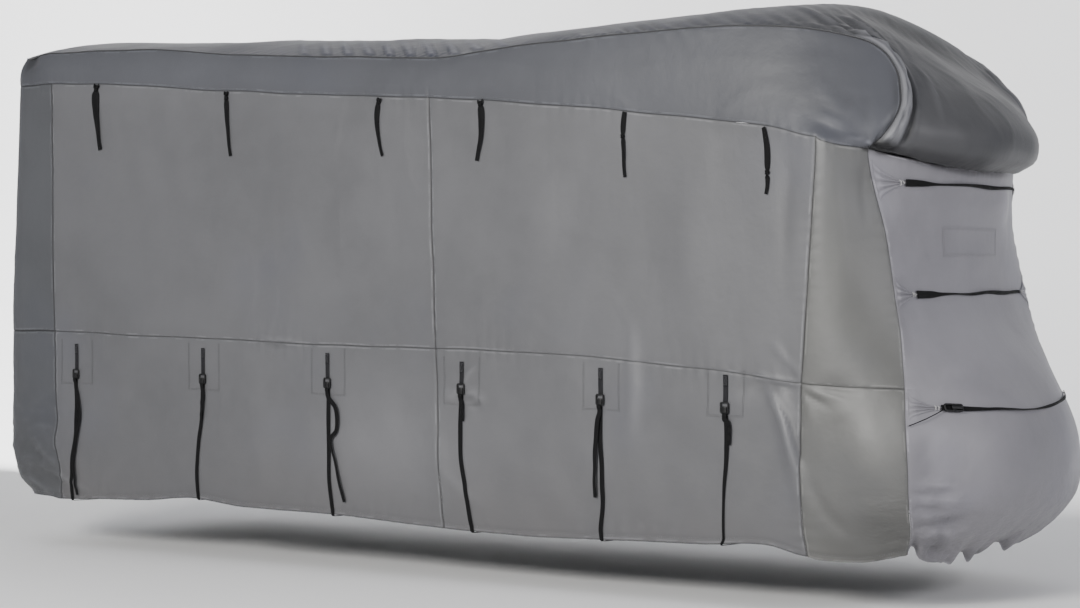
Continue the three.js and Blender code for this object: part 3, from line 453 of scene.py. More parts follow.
def stack(*values):
    return np.stack(alike(*values), axis=-1)


def corner_shape(share):
    """A round corner: 0 in the middle and 1 at its end, square to the side there."""
    return 1 - (1 - np.abs(share) ** BACK_CORNER_POWER) ** (1 / BACK_CORNER_POWER)


def back_seam_x(z):
    return -4965 - 0.025 * z


def middle_seam_x(z):
    return -1867 - 0.041 * z


def wall_at(s, z):
    """Points of the wall at places s and heights z."""
    s, z = alike(s, z)
    place, far = np.abs(s), np.where(s < 0, 1.0, -1.0)
    side, back = OUTLINE.read(z, "side"), OUTLINE.read(z, "back")
    front_seam = OUTLINE.read(z, "front_seam")
    cab_x, cab_y = OUTLINE.read(z, "cab_x"), OUTLINE.read(z, "cab_y")
    inner = np.minimum(place, 1)
    tail_x = back - BACK_BOW * (1 - inner ** 2) + BACK_CORNER_DEPTH * corner_shape(inner)
    share = np.clip(part_way(place, FRONT_SEAM, CAB_SEAM), 0, 1)
    turn_x = lerp(front_seam, cab_x, 0.5)
    cab_curve_x = lerp(lerp(front_seam, turn_x, share), lerp(turn_x, cab_x, share), share)
    x = np.select(
        [place <= seam for seam in (CORNER, BACK_SEAM, MIDDLE_SEAM, FRONT_SEAM)],
        [
            tail_x,
            lerp(back + BACK_CORNER_DEPTH, back_seam_x(z), part_way(place, CORNER, BACK_SEAM)),
            lerp(back_seam_x(z), middle_seam_x(z), part_way(place, BACK_SEAM, MIDDLE_SEAM)),
            lerp(middle_seam_x(z), front_seam, part_way(place, MIDDLE_SEAM, FRONT_SEAM)),
        ],
        cab_curve_x,
    )
    y = np.where(place <= CORNER, side * place, lerp(side, lerp(side, cab_y, share), share))
    return stack(x, far * y, z)


def front_at(u, z):
    """Points of the front panel: u from -1 at the near cab corner to 1 at the far one."""
    u, z = alike(u, z)
    reach = np.abs(u)
    bow = 1 - reach ** FRONT.read(reach, "bow")
    x = lerp(OUTLINE.read(z, "cab_x"), OUTLINE.read(z, "front"), bow)
    return stack(x, u * OUTLINE.read(z, "cab_y"), z)


def row_height(v, low, skirt, high):
    """Heights at v, which is 0 at the hem, 1 at the skirt seam and 2 at the hood seam."""
    return np.where(v < 1, lerp(low, skirt, v), lerp(skirt, high, v - 1))


def wall_point(s, v):
    return wall_at(s, row_height(v, *LEVELS.levels(np.abs(s))))


def front_point(u, v):
    return front_at(u, row_height(v, *FRONT.levels(np.abs(u))))


def top_point(s, share):
    """Points of the top panel: share is -1 at the near seam and 1 at the far one, and s past the cab
    seam is the lip that turns under the nose to the front panel."""
    s, share = alike(s, share)
    place, reach = np.minimum(s, CAB_SEAM), np.abs(share)
    crown = reach ** TOP.read(place, "crown")
    rim = lerp(corner_shape(reach), crown, smoothstep(place, CORNER, BACK_SEAM))
    sag = window(place, 8.8, 11, 11.6, 13.2)
    point = stack(
        lerp(TOP.read(place, "mid_x"), TOP.read(place, "x"), rim),
        share * TOP.read(place, "y"),
        lerp(TOP.read(place, "mid_z"), TOP.read(place, "z"), crown)
        - FAR_SAG * sag * np.maximum(share, 0),
    )
    under = front_point(share, np.full_like(share, 2.0))
    under[..., 2] += LIP_RISE * (1 - reach)
    return lerp(point, under, np.clip(s - CAB_SEAM, 0, 1)[..., None])


def seam_point(s):
    """The piped seam at places s."""
    place = np.abs(s)
    far = np.where(np.asarray(s) < 0, 1.0, -1.0)
    return top_point(np.maximum(place, CORNER), far * np.minimum(place, 1))


def band_point(s, w):
    """Points of the hood's band: w is 0 at the hood seam and 1 at the piped seam."""
    s, w = alike(s, w)
    two = np.full_like(s, 2.0)
    low, high = wall_point(s, two), seam_point(s)
    ahead, behind = np.minimum(s + NEAR, CAB_SEAM), np.maximum(s - NEAR, -CAB_SEAM)
    along = seam_point(ahead) + wall_point(ahead, two) - seam_point(behind) - wall_point(behind, two)
    out = unit(np.cross(along, high - low))
    full = lerp(BULGE_SIDE, BULGE_CHEEK, smoothstep(np.abs(s), 8, 13))
    tip = 1 - smoothstep(np.abs(s), 14, CAB_SEAM)
    swell = 4 * w * (1 - w) * full * tip
    return low + (high - low) * w[..., None] + out * swell[..., None]


def fold_rise(points, folds):
    """How far the cloth stands out at points because of the folds given."""
    rise = np.zeros(points.shape[:-1])
    for *along, wide, high in folds:
        a, b, c = np.reshape(along, (3, 3)).astype(float)
        reach = 3 * wide
        low = np.minimum(np.minimum(a, b), c) - reach
        top = np.maximum(np.maximum(a, b), c) + reach
        inside = np.all((points > low) & (points < top), axis=-1)
        if not inside.any():
            continue
        near = points[inside]
        best, share = np.full(len(near), np.inf), np.zeros(len(near))
        for half, (p, q) in enumerate(((a, b), (b, c))):
            t = np.clip((near - p) @ (q - p) / ((q - p) @ (q - p)), 0, 1)
            gap = np.linalg.norm(near - p - t[:, None] * (q - p), axis=1)
            closer = gap < best
            best[closer] = gap[closer]
            share[closer] = (half + t[closer]) / 2
        rise[inside] += high * bell(best, wide) * np.sin(np.pi * lerp(0.08, 0.92, share))
    return rise


def all_folds(points):
    return fold_rise(points, FOLDS) + fold_rise(points, FINE_FOLDS)


def painted_light_at(points):
    """How much light or shade is painted on the cloth at points, with a painted highlight on the crests of
    its fine folds and painted shade in their troughs.
    """
    painted_light = 0.022 * fold_rise(points, FINE_FOLDS)
    for place, reach, share in PAINTED_LIGHT_SPOTS:
        away = (points - np.array(place, float)) / np.array(reach, float)
        painted_light += share * np.exp(-(away ** 2).sum(axis=-1))
    return painted_light


def nose_roll(s, share):
    """The height of the rolled fold at places s and shares across the top."""
    up = window(s, ROLL_FROM, ROLL_PEAK, ROLL_LOW, ROLL_END)
    inset = (1 - np.abs(share)) * TOP.read(np.minimum(s, CAB_SEAM), "y")
    high = np.where(share < 0, ROLL_NEAR, ROLL_FAR)
    return high * up * np.sin(np.pi * np.clip((inset - 3) / ROLL_WIDE, 0, 1)) ** 0.7


def askew(points):
    """The cover sits a little askew on the nose, and none of its seams is quite straight."""
    moved = points.copy()
    x, y, z = points[..., 0], points[..., 1], points[..., 2]
    beside = bell(x - back_seam_x(z), 120) * smoothstep(-y, 900, 1050)
    moved[..., 0] += SEAM_DRIFT.read(z, "x") * beside - SKEW * y * smoothstep(x, -500, 600)
    moved[..., 0] += 3.2 * murmur(points, 420, 63)
    moved[..., 2] += 3.0 * murmur(points, 460, 64) * smoothstep(z, 420, 800)
    return moved


def murmur(points, size, seed, stretch=(1, 1, 1)):
    """Smooth even noise from -1 to 1 in space, the same for any panel that has the point. size is about
    the length of its waves, which stretch makes longer one way, and seed picks them."""
    dice = np.random.default_rng(seed)
    total = np.zeros(points.shape[:-1])
    scaled = points / (np.array(stretch, float) * size)
    for _ in range(WAVES):
        way = unit(dice.normal(size=3)) * dice.uniform(0.6, 1.5)
        total += np.sin(2 * np.pi * (scaled @ way) + dice.uniform(0, 2 * np.pi))
    return total / math.sqrt(WAVES * 1.6)


def creases(points, size, seed, stretch):
    """Thin raised lines where the noise crosses zero, as cloth that has been folded away keeps."""
    return bell(murmur(points, size, seed, stretch), 0.16)


def uneven(along, pitch, seed):
    """A wave whose pitch wanders, for puckers along a seam."""
    dice = np.random.default_rng(seed)
    a, b, c = dice.uniform(0, 2 * np.pi, 3)
    drift = 1.5 * np.sin(along / (pitch * 2.3) + a) + 1.1 * np.sin(along / (pitch * 5.9) + b)
    strong = 0.15 + 0.85 * smoothstep(np.sin(along / (pitch * 3.3) + c), -0.3, 0.9)
    return strong * np.sin(2 * np.pi * along / pitch + drift)


def size_property(name, description, default, low, high):
    return bpy.props.FloatProperty(
        name=name, description=description, default=default, min=low, max=high, unit="LENGTH",
    )


def colour_property(name, description, *default):
    return bpy.props.FloatVectorProperty(
        name=name, description=description, default=default, size=3, subtype="COLOR", min=0, max=1,
    )


def power_property(name, description, default):
    return bpy.props.FloatProperty(name=name, description=description, default=default, min=0, unit="POWER")


class Settings(bpy.types.PropertyGroup):
    """Sizes and colours of the cover."""

    step: size_property("Step along", "Spacing of the points along the cover", 0.0165, 0.012, 0.08)
    rise_step: size_property("Step up", "Spacing of the points up the walls", 0.030, 0.012, 0.08)
    across_step: size_property(
        "Step across", "Spacing of the points across the top, back and front", 0.027, 0.012, 0.08,
    )
    thick: size_property("Cloth thickness", "Thickness of the coated cloth", 0.0015, 0.001, 0.003)
    pucker: size_property("Pucker height", "How high the cloth puckers beside a seam", 0.0042, 0, 0.01)
    top: colour_property("Top colour", "Cloth of the roof and the nose", 0.0500, 0.0505, 0.0540)
    hood: colour_property("Hood colour", "Cloth of the band round the top", 0.0575, 0.0595, 0.068)
    wall: colour_property("Wall colour", "Cloth of the walls and skirts", 0.087, 0.0875, 0.093)
    # Painted shade: the rear panels are a darker copy of the wall cloth, as the back turns away from the
    # light.
    rear: colour_property(
        "Rear colour", "Cloth of the rear panels, a little darker than the sides", 0.056, 0.058, 0.0635,
    )
    cab: colour_property("Cab colour", "Cloth at the cab's sides, a little warmer", 0.086, 0.0862, 0.083)
    front: colour_property("Front colour", "Cloth of the front panel and its tabs", 0.178, 0.173, 0.189)
    webbing: colour_property("Webbing colour", "Straps and ties", 0.0035, 0.0035, 0.004)


class StitchSettings(bpy.types.PropertyGroup):
    """Sizes and colour of the stitching."""

    pitch: size_property("Pitch", "Distance from one stitch to the next", 0.012, 0.004, 0.05)
    length: size_property("Length", "Length of one stitch", 0.0075, 0.002, 0.02)
    wide: size_property("Width", "Width of the thread", 0.0016, 0.0005, 0.004)
    thread: colour_property("Thread", "Colour of the thread of the seams", 0.10, 0.10, 0.108)


class StageSettings(bpy.types.PropertyGroup):
    """The floor and the light."""

    floor: colour_property("Floor colour", "Pale floor and backdrop", 0.90, 0.90, 0.90)
    key: power_property("Key light", "Power of the large soft light", 2300)
    fill: power_property("Fill light", "Power of the fill light", 520)


def stations(length, step, growth, low=True):
    """Distances from 0 to a length, a step apart and closer beside a seam at the high end, and at the
    low end if there is one."""
    gaps = np.minimum(4 + growth * np.arange(60), step)
    near = np.concatenate([[0.0], np.cumsum(gaps)])
    near = near[near < (0.5 if low else 0.8) * length - step / 2]
    near = near[: int(np.argmax(gaps >= step)) + 1]
    before = near if low else np.array([0.0])
    after = length - near[::-1]
    count = max(int(round((after[0] - before[-1]) / step)), 1)
    middle = np.linspace(before[-1], after[0], count + 1)[1:-1]
    return np.concatenate([before, middle, after])


def wall_places(start, end, step, low=True):
    """Places from start to end whose points on the wall are spaced as stations says."""
    values = np.linspace(start, end, 1200)
    length = travelled(wall_at(values, MIDDLE_HEIGHT))
    return np.interp(stations(length[-1], step, 4.0, low), length, values)


def crossed(grid):
    """A grid of points with its rows and its columns changed over."""
    return grid.transpose(1, 0, 2)


def travelled(points):
    """Distance travelled along rows of points."""
    gaps = np.linalg.norm(np.diff(points, axis=0), axis=-1)
    return np.concatenate([np.zeros((1, *gaps.shape[1:])), np.cumsum(gaps, axis=0)])


def even_shares(s, fractions):
    """Shares across the top at place s, at the given fractions of the way along its arc."""
    dense = np.sin(np.linspace(-np.pi / 2, np.pi / 2, 3001))
    length = travelled(top_point(s, dense))
    return np.interp(fractions * length[-1], length, dense)


def grid_directions(points):
    """The direction out of each quad of a grid, summed at its corners."""
    a, b = points[:-1, :-1], points[1:, :-1]
    c, d = points[1:, 1:], points[:-1, 1:]
    quad = unit(np.cross(c - a, d - b))
    total = np.zeros_like(points)
    for i in (slice(0, -1), slice(1, None)):
        for j in (slice(0, -1), slice(1, None)):
            total[i, j] += quad
    return total


def shared_spots(grids):
    """A number for every point of the grids, the same for points that lie in one place."""
    flat = np.concatenate([points.reshape(-1, 3) for points in grids])
    _, spot = np.unique(np.round(flat * 20).astype(np.int64), axis=0, return_inverse=True)
    return spot.ravel()


def fades(length):
    """How much of a change at the start and at the end of each line is left along it."""
    reach = np.minimum(45, 0.35 * length[-1:])
    return bell(length, reach), bell(length[-1:] - length, reach)


def shared_directions(grids):
    """The direction out of the cloth at every point, the same for panels that share a seam."""
    total = np.concatenate([grid_directions(points).reshape(-1, 3) for points in grids])
    spot = shared_spots(grids)
    summed = np.stack([np.bincount(spot, total[:, k]) for k in range(3)], axis=1)
    out = unit(summed[spot])
    ends = np.cumsum([points.size // 3 for points in grids])[:-1]
    return [part.reshape(points.shape) for part, points in zip(np.split(out, ends), grids)]


def beside_seam(gap, along, pitch, seed, reach=38, high=1.0, slant=0.0):
    """The puckers and the dip of the cloth at a distance from a seam, in parts of the pucker height."""
    wave = uneven(along + slant * gap, pitch, seed)
    return high * wave * np.exp(-gap / reach) * (1 - np.exp(-gap / 5)) - 0.6 * bell(gap, 7)


def rounded_over(grid, row, reach, share):
    """A grid with the crease at one of its rows rounded over a reach, as far as share says."""
    length = travelled(grid)
    spread = reach * bell(length - length[row], 1.7 * reach)
    total = np.zeros_like(grid)
    steps = np.linspace(-1, 1, 9)
    for j in range(grid.shape[1]):
        for step in steps:
            spot = length[:, j] + step * spread[:, j]
            total[:, j] += np.stack([np.interp(spot, length[:, j], grid[:, j, k]) for k in range(3)], axis=1)
    return lerp(grid, total / len(steps), share[..., None])


class Cover:
    """The dressed cloth: grids of points and directions for every panel, in the tables' millimetres."""

    def __init__(self, step, rise_step, across_step, pucker):
        self.pucker = pucker
        self.tail = wall_places(CORNER, BACK_SEAM, step, low=False)
        self.rear = wall_places(BACK_SEAM, MIDDLE_SEAM, step)
        self.fore = wall_places(MIDDLE_SEAM, FRONT_SEAM, step)
        self.cab = wall_places(FRONT_SEAM, CAB_SEAM, step)
        self.skirt_rows = stations(SKIRT_TALL, rise_step, 1.5) / SKIRT_TALL
        self.upper_rows = 1 + stations(UPPER_TALL, rise_step, 1.5) / UPPER_TALL
        self.band_rows = stations(BAND_TALL, rise_step, 2.2) / BAND_TALL
        half = stations(HALF_ACROSS, across_step, 0.8, low=False) / (2 * HALF_ACROSS)
        self.across = np.concatenate([0.5 - half[::-1], 0.5 + half[1:]])
        self.length = np.concatenate([self.tail, self.rear[1:], self.fore[1:], self.cab[1:]])
        self.seam_places = np.linspace(0, CAB_SEAM, 4000)
        self.seam_length = travelled(seam_point(self.seam_places))
        self.panels = {}
        self.make_walls()
        self.make_hood()
        self.make_front()
        self.match_edges()
        self.raise_folds()

    def add(self, name, base, rise, uv, painted_light=0.0):
        # Each panel keeps the light and shade painted on it.
        self.panels[name] = {"base": base, "rise": rise, "uv": uv, "painted_light": painted_light_at(base) + painted_light}

    def seam_along(self, s):
        """How far along the piped seam a place is."""
        return np.interp(np.abs(s), self.seam_places, self.seam_length)

    def add_wall(self, name, places, rows):
        s, v = np.meshgrid(places, rows, indexing="ij")
        base = wall_point(s, v)
        self.add(name, base, self.wall_rise(base, s), flat_map(base), self.painted_crest_shading(base))

    def make_walls(self):
        back = -even_shares(CORNER, self.across)[::-1]
        self.back = back
        round_rear = np.concatenate([-self.tail[::-1], back[1:-1], self.tail])
        self.add_wall("rear_upper", round_rear, self.upper_rows)
        self.add_wall("rear_skirt", round_rear, self.skirt_rows)
        for name, places, rows in (
            ("side_rear_upper", self.rear, self.upper_rows),
            ("side_front_upper", self.fore, self.upper_rows),
            ("cab_upper", self.cab, self.upper_rows),
            ("skirt_rear", self.rear, self.skirt_rows),
            ("skirt_front", self.fore, self.skirt_rows),
            ("cab_skirt", self.cab, self.skirt_rows),
        ):
            self.add_wall(f"{name}_R", places, rows)
            self.add_wall(f"{name}_L", -places[::-1], rows)

    def wall_rise(self, p, s):
        """Height of the walls' wrinkles: soft upright waves, old creases and puckers along the seams."""
        x, y, z = p[..., 0], p[..., 1], p[..., 2]
        place = np.abs(s)
        hem, skirt, tie = LEVELS.levels(place)
        along = x + y
        soft = 4.2 * murmur(p, 900, 11, (1, 1, 2.6)) + 1.7 * murmur(p, 300, 12, (1, 1, 2.6))
        patchy = smoothstep(murmur(p, 1500, 13), -0.2, 0.9)
        low = 1 - smoothstep(z, skirt - 250, skirt + 60)
        old = 1.8 * creases(p, 520, 14, (1, 1, 1.7)) * patchy
        loose = 2.2 * murmur(p, 230, 15, (1.3, 1, 1)) + 2.0 * creases(p, 300, 16, (1.5, 1, 1)) * patchy
        rear_low = (1 - smoothstep(x, -5250, -4700)) * (1 - smoothstep(z, 560, 1000))
        slack = rear_low * (5 * murmur(p, 190, 17, (2.2, 1, 0.7)) + 7 * creases(p, 210, 18, (2.2, 1, 0.8)))
        seams = (
            beside_seam(tie - z, along, 67, 21, high=0.4)
            + beside_seam(np.abs(z - skirt), along, 71, 22, reach=46, high=0.55)
            + 0.9 * beside_seam(np.abs(z - hem - HEM_DEEP), along, 94, 23, reach=50)
        )
        for seam, seam_x, seed in (
            (BACK_SEAM, back_seam_x(z), 24),
            (MIDDLE_SEAM, middle_seam_x(z), 25),
            (FRONT_SEAM, OUTLINE.read(z, "front_seam"), 26),
        ):
            gap = np.where(np.abs(place - seam) < 3, np.abs(x - seam_x), FAR_OFF)
            seams = seams + beside_seam(gap, z, 76, seed, reach=44, high=0.7)
        corner_gap = np.hypot(x - OUTLINE.read(z, "cab_x"), np.abs(y) - OUTLINE.read(z, "cab_y"))
        seams = seams + beside_seam(np.where(place > 12, corner_gap, FAR_OFF), z, 72, 27, reach=50)
        return soft + old + low * loose + slack + self.pucker * seams + all_folds(p)

    def painted_crest_shading(self, p):
        """Painted light on the walls' old creases, low at the rear corner: a painted highlight on their
        crests and painted shade between them.
        """
        x, z = p[..., 0], p[..., 2]
        rear_low = (1 - smoothstep(x, -5250, -4750)) * (1 - smoothstep(z, 620, 1150))
        crossed = creases(p, 210, 18, (2.2, 1, 0.8)) + 0.7 * creases(p, 130, 19, (2.4, 1, 0.9)) - 0.75
        return 0.26 * rear_low * crossed

    def make_hood(self):
        rows = np.concatenate([self.length, np.linspace(CAB_SEAM, LIP_END, 8)[1:]])
        shares = np.stack([even_shares(min(s, CAB_SEAM), self.across) for s in rows])
        s = np.repeat(rows[:, None], shares.shape[1], axis=1)
        base = top_point(s, shares)
        self.add("top_panel", base, *self.top_rise(base, s, shares))
        half = self.back[self.back >= -1e-9]
        half[0] = 0.0
        places = np.concatenate([half[:-1], self.length])
        for side, run in (("R", places), ("L", -places[::-1])):
            s, w = np.meshgrid(run, self.band_rows, indexing="ij")
            base = band_point(s, w)
            wide = np.linalg.norm(base[:, -1:] - base[:, :1], axis=-1)
            inner = smoothstep(w * wide, 0, 110) * smoothstep((1 - w) * wide, 0, 110)
            corner = int(np.argmin(np.abs(np.abs(run) - FRONT_SEAM)))
            base = rounded_over(base, corner, 210, inner)
            # A strip of painted shade on the near band, beside the rolled fold of the nose.
            beside = bell((1 - w) * wide - 34, 30) * window(np.abs(s), 11.5, 13, 14.6, 15.8)
            beside = beside * (side == "R")
            self.add(f"band_{side}", base, self.band_rise(base, s, w), flat_map(base), -0.30 * beside)

    def eased_in(self, s):
        """How much the nose cloth is pleated where it is eased into the piped seam."""
        return window(s, 7.0, 8.6, 10.6, 12.2)

    def top_rise(self, p, s, share):
        """Height of the top's wrinkles, its map and the light and shade painted on it: pleats and a rolled
        fold beside the nose's seam, short folds across the roof's edge, soft waves and old creases."""
        place = np.minimum(s, CAB_SEAM)
        inset = (1 - np.abs(share)) * TOP.read(place, "y")
        behind = travelled(p)
        along = self.seam_along(place)
        near = smoothstep(-share, -0.6, 0.3)
        seams = beside_seam(inset, along, 58, 31, reach=52)
        seams = seams + beside_seam(behind, self.seam_along(np.abs(share)), 58, 31, reach=52)
        to_lip = np.linalg.norm(p - top_point(np.full_like(s, LIP_END), share), axis=-1)
        lip = np.where(s > 15, to_lip, FAR_OFF)
        seams = seams + 1.5 * beside_seam(lip, p[..., 1], 64, 32, reach=60)
        hang = 5 * murmur(p, 120, 50, (1.2, 1, 0.6)) * np.exp(-lip / 70)
        leaning = along + LEAN * inset
        folded = np.tanh(2.4 * uneven(leaning, 118, 39)) + 0.4 * uneven(leaning, 83, 40)
        pleats = 12 * folded * (0.3 + 0.7 * near) * self.eased_in(place)
        pleats = pleats * (1 - bell(inset, 30)) * np.exp(-inset / 260)
        inner = window(s, 9.6, 10.8, 15.2, 15.9) * np.where(share < 0, 1, 0.1)
        wander = 6 * np.sin(s * 2.1) + 3 * np.sin(s * 5.3 + 1)

        def line(middle, reach):
            return bell(inset - middle - 0.5 * wander, reach)

        ridges = 4 * line(22, 7) - 5 * line(34, 6) + 4 * line(60, 8) - 12 * line(96, 11) + 5 * line(122, 15)
        roll = nose_roll(s, share)
        short = smoothstep(uneven(leaning, 170, 60), 0.1, 0.6) * np.exp(-inset / 380)
        short = short * window(s, 3.3, 3.8, 7, 8) * smoothstep(inset, 4, 60)
        crushed = murmur(p, 62, 66, (1, 1, 2))
        # Painted light: a painted highlight on the rolled fold, the pleats' crests and the short folds at the
        # roof's edge, painted highlights and shade in lines beside the roll, a painted shadow under the
        # nose's lip, and painted shade over the roof.
        painted_crest_shading = (1.1 + 0.5 * crushed) * roll / ROLL_NEAR + 0.6 * line(14, 5) - 0.5 * line(38, 6)
        painted_crest_shading = painted_crest_shading + 0.5 * line(66, 6) - 0.8 * line(98, 12)
        painted_light = inner * painted_crest_shading - 0.5 * smoothstep(s, 15.4, CAB_SEAM) * smoothstep(-share, -1.2, 0)
        painted_light = painted_light + 0.045 * pleats + 0.8 * short - 0.48 * (1 - smoothstep(p[..., 0], -300, 500))
        ridges = inner * ridges + 8 * inner * crushed * bell(inset - 45, 40)
        nose = smoothstep(p[..., 0], 300, 700)
        soft = 3.4 * murmur(p, 700, 33, (1.6, 1, 1)) + nose * 2.6 * murmur(p, 260, 34, (1, 1, 1.8))
        old = (1.2 + 1.2 * nose) * creases(p, 460, 35, (1, 1, 1.5))
        folds = all_folds(p) + roll
        rise = soft + old + hang + pleats + ridges + 8 * short + self.pucker * seams + folds
        return rise, flat_map(p), painted_light

    def band_rise(self, p, s, w):
        """Height of the band's wrinkles, with the tuck beside the knot of cloth at the cab corner."""
        place = np.abs(s)
        wide = np.linalg.norm(seam_point(s) - wall_point(s, np.full_like(s, 2.0)), axis=-1)
        strong = (0.35 + 0.4 * self.eased_in(place)) * (0.3 + smoothstep(murmur(p, 420, 62), -0.5, 0.8))
        upper = strong * beside_seam((1 - w) * wide, self.seam_along(place), 108, 31, reach=70, slant=-0.8)
        lower = beside_seam(w * wide, p[..., 0] + p[..., 1], 67, 21, high=0.4)
        middle = np.where(place < 0.4, np.abs(p[..., 1]), FAR_OFF)
        centre = beside_seam(middle, p[..., 2], 60, 36)
        knot = window(place, 14.2, 15.4, 15.7, CAB_SEAM)
        soft = 3.2 * murmur(p, 640, 37, (2, 1, 1)) + 1.5 * creases(p, 420, 38, (2, 1, 1))
        tuck = 5 * knot * np.sin(np.pi * w * 5) * np.sin(np.pi * w)
        return soft * np.minimum(wide / 160, 1) + tuck + self.pucker * (upper + lower + centre) + all_folds(p)

    def make_front(self):
        shares = even_shares(CAB_SEAM, self.across)
        rows = np.concatenate([self.skirt_rows, self.upper_rows[1:]])
        u, v = np.meshgrid(shares, rows, indexing="ij")
        base = front_point(u, v)
        base[..., 2] += self.front_scallops(base, u)
        below = FRONT.read(np.abs(u), "tie") - base[..., 2]
        # Painted shadow along the top of the front panel, under the nose's lip, stronger on the near side.
        shaded = -0.5 * bell(below, 26) * smoothstep(-u, -0.6, 0.2)
        self.add("front_panel", base, self.front_rise(base, u), flat_map(base), shaded)

    def front_scallops(self, p, u):
        """How far the gathered hem of the front hangs lower or is pulled up, with its hanging flap."""
        above = p[..., 2] - FRONT.read(np.abs(u), "hem")
        edge = (1 - np.abs(u)) * OUTLINE.read(p[..., 2], "cab_y")
        wave = HEM_LIFTS.read(u, "lift") + 5 * uneven(p[..., 1], 190, 47) + 3 * uneven(p[..., 1], 83, 48)
        return wave * np.exp(-above / 75) * smoothstep(edge, 0, 34)

    def front_rise(self, p, u):
        """Height of the front panel's wrinkles, which bunch at its gathered hem and near corner."""
        y, z = p[..., 1], p[..., 2]
        hem, _, top = FRONT.levels(np.abs(u))
        edge = (1 - np.abs(u)) * OUTLINE.read(z, "cab_y")
        soft = 3.0 * murmur(p, 620, 41, (1, 1.8, 1)) + 1.2 * murmur(p, 240, 42, (1, 1.6, 1))
        old = 1.3 * creases(p, 420, 43, (1, 1.6, 1))
        gather = np.exp(-(z - hem) / 150)
        corner = 0.3 + 0.7 * smoothstep(-u, 0.55, 0.9) + 0.4 * smoothstep(u, 0.7, 0.95)
        ruck = uneven(y + 0.35 * (z - hem), 128, 44) + 0.45 * uneven(y - 0.2 * (z - hem), 53, 45)
        crushed = creases(p, 190, 51, (1, 1, 0.8)) - creases(p, 170, 52, (1, 1, 0.9))
        bunch = gather * corner * (8 * ruck + 11 * murmur(p, 150, 46, (1, 1, 0.8)) + 9 * crushed)
        tucked = -(10 + 0.7 * HEM_LIFTS.read(u, "lift")) * np.exp(-(z - hem) / 60)
        seams = beside_seam(edge, z, 72, 27, reach=50) + 1.3 * beside_seam(top - z, y, 64, 32, reach=46)
        return (soft + old + bunch + tucked) * smoothstep(edge, 0, 60) + self.pucker * seams + all_folds(p)

    def match_edges(self):
        """Brings the wrinkles of panels that share a seam to one height there, fading inwards."""
        panels = self.panels.values()
        rises = np.concatenate([panel["rise"].ravel() for panel in panels])
        spot = shared_spots([panel["base"] for panel in panels])
        miss = (np.bincount(spot, rises) / np.bincount(spot))[spot] - rises
        start = 0
        for panel in panels:
            base, count = panel["base"], panel["rise"].size
            gap = miss[start:start + count].reshape(panel["rise"].shape)
            start += count
            low, high = fades(travelled(base))
            left, right = (part.T for part in fades(travelled(crossed(base))))
            panel["rise"] = panel["rise"] + (
                low * gap[:1] + high * gap[-1:] + left * gap[:, :1] + right * gap[:, -1:]
                - low * left * gap[0, 0] - low * right * gap[0, -1]
                - high * left * gap[-1, 0] - high * right * gap[-1, -1]
            )

    def raise_folds(self):
        """Raises every grid by its wrinkles along the cloth's own direction."""
        names = list(self.panels)
        flat = shared_directions([self.panels[n]["base"] for n in names])
        for name, out in zip(names, flat):
            panel = self.panels[name]
            panel["points"] = askew(panel["base"] + out * panel["rise"][..., None])
        for name, out in zip(names, shared_directions([self.panels[n]["points"] for n in names])):
            self.panels[name]["out"] = out
        self.tree = self.search_tree()

    def search_tree(self):
        """The cloth's faces, to be hit by a ray."""
        corners, faces, base = [], [], 0
        for panel in self.panels.values():
            faces.append(quad_faces(*panel["points"].shape[:2]) + base)
            corners.append(panel["points"].reshape(-1, 3))
            base += len(corners[-1])
        return BVHTree.FromPolygons(np.concatenate(corners).tolist(), np.concatenate(faces).tolist())

    def on_cloth(self, points, out, lift):
        """The points moved along their directions to lie a little above the cloth."""
        landed = []
        for point, way in zip(points.reshape(-1, 3), out.reshape(-1, 3)):
            start = Vector(point + way * 150)
            hit, _, _, _ = self.tree.ray_cast(start, Vector(-way), 300)
            landed.append(np.array(hit if hit is not None else point))
        return np.reshape(landed, points.shape) + out * np.broadcast_to(lift, points.shape[:-1])[..., None]

    def beside_wall(self, x, z, lift, far=False):
        """Points beside the near or far side at x and height z, and the direction out of the wall."""
        point, out = framed(wall_at, place_of_x(x, z) * (-1 if far else 1), z)
        return self.on_cloth(point, out, lift), out

    def on_front(self, u, z, lift):
        """Points on the front panel at u across it and height z, and the direction out of it."""
        point, out = framed(front_at, u, z)
        return self.on_cloth(point, out, lift), out


def framed(surface, a, b):
    """Points of a surface, skewed as the cloth is, and the direction out of it there."""
    a, b = alike(a, b)
    step = NEAR / 4
    along = surface(a + step, b) - surface(a - step, b)
    upward = surface(a, b + 1) - surface(a, b - 1)
    return askew(surface(a, b)), unit(np.cross(along, upward))


def place_of_x(x, z):
    """The place s on the near side where the wall has a given x at a given height."""
    x, z = alike(x, z)
    low, high = np.full(x.shape, 1.0), np.full(x.shape, 15.9)
    for _ in range(30):
        middle = (low + high) / 2
        before = wall_at(middle, z)[..., 0] < x
        low, high = np.where(before, middle, low), np.where(before, high, middle)
    return low


def flat_map(points):
    """Coordinates along and across the cut cloth, in metres, for the weave."""
    middle = points[:, points.shape[1] // 2]
    return stack(travelled(middle)[:, None], travelled(crossed(points)).T) * MM


def quad_faces(long, wide):
    corner = np.arange(long * wide).reshape(long, wide)
    quads = np.stack([corner[:-1, :-1], corner[1:, :-1], corner[1:, 1:], corner[:-1, 1:]], axis=-1)
    return quads.reshape(-1, 4)


def to_row(points):
    """Millimetres of the tables to metres of the row's frame."""
    return (np.asarray(points, float) - SUPPORT) * MM


def placed(name, data):
    """An object of the data given, at the origin of the scene."""
    piece = bpy.data.objects.new(name, data)
    bpy.context.scene.collection.objects.link(piece)
    return piece


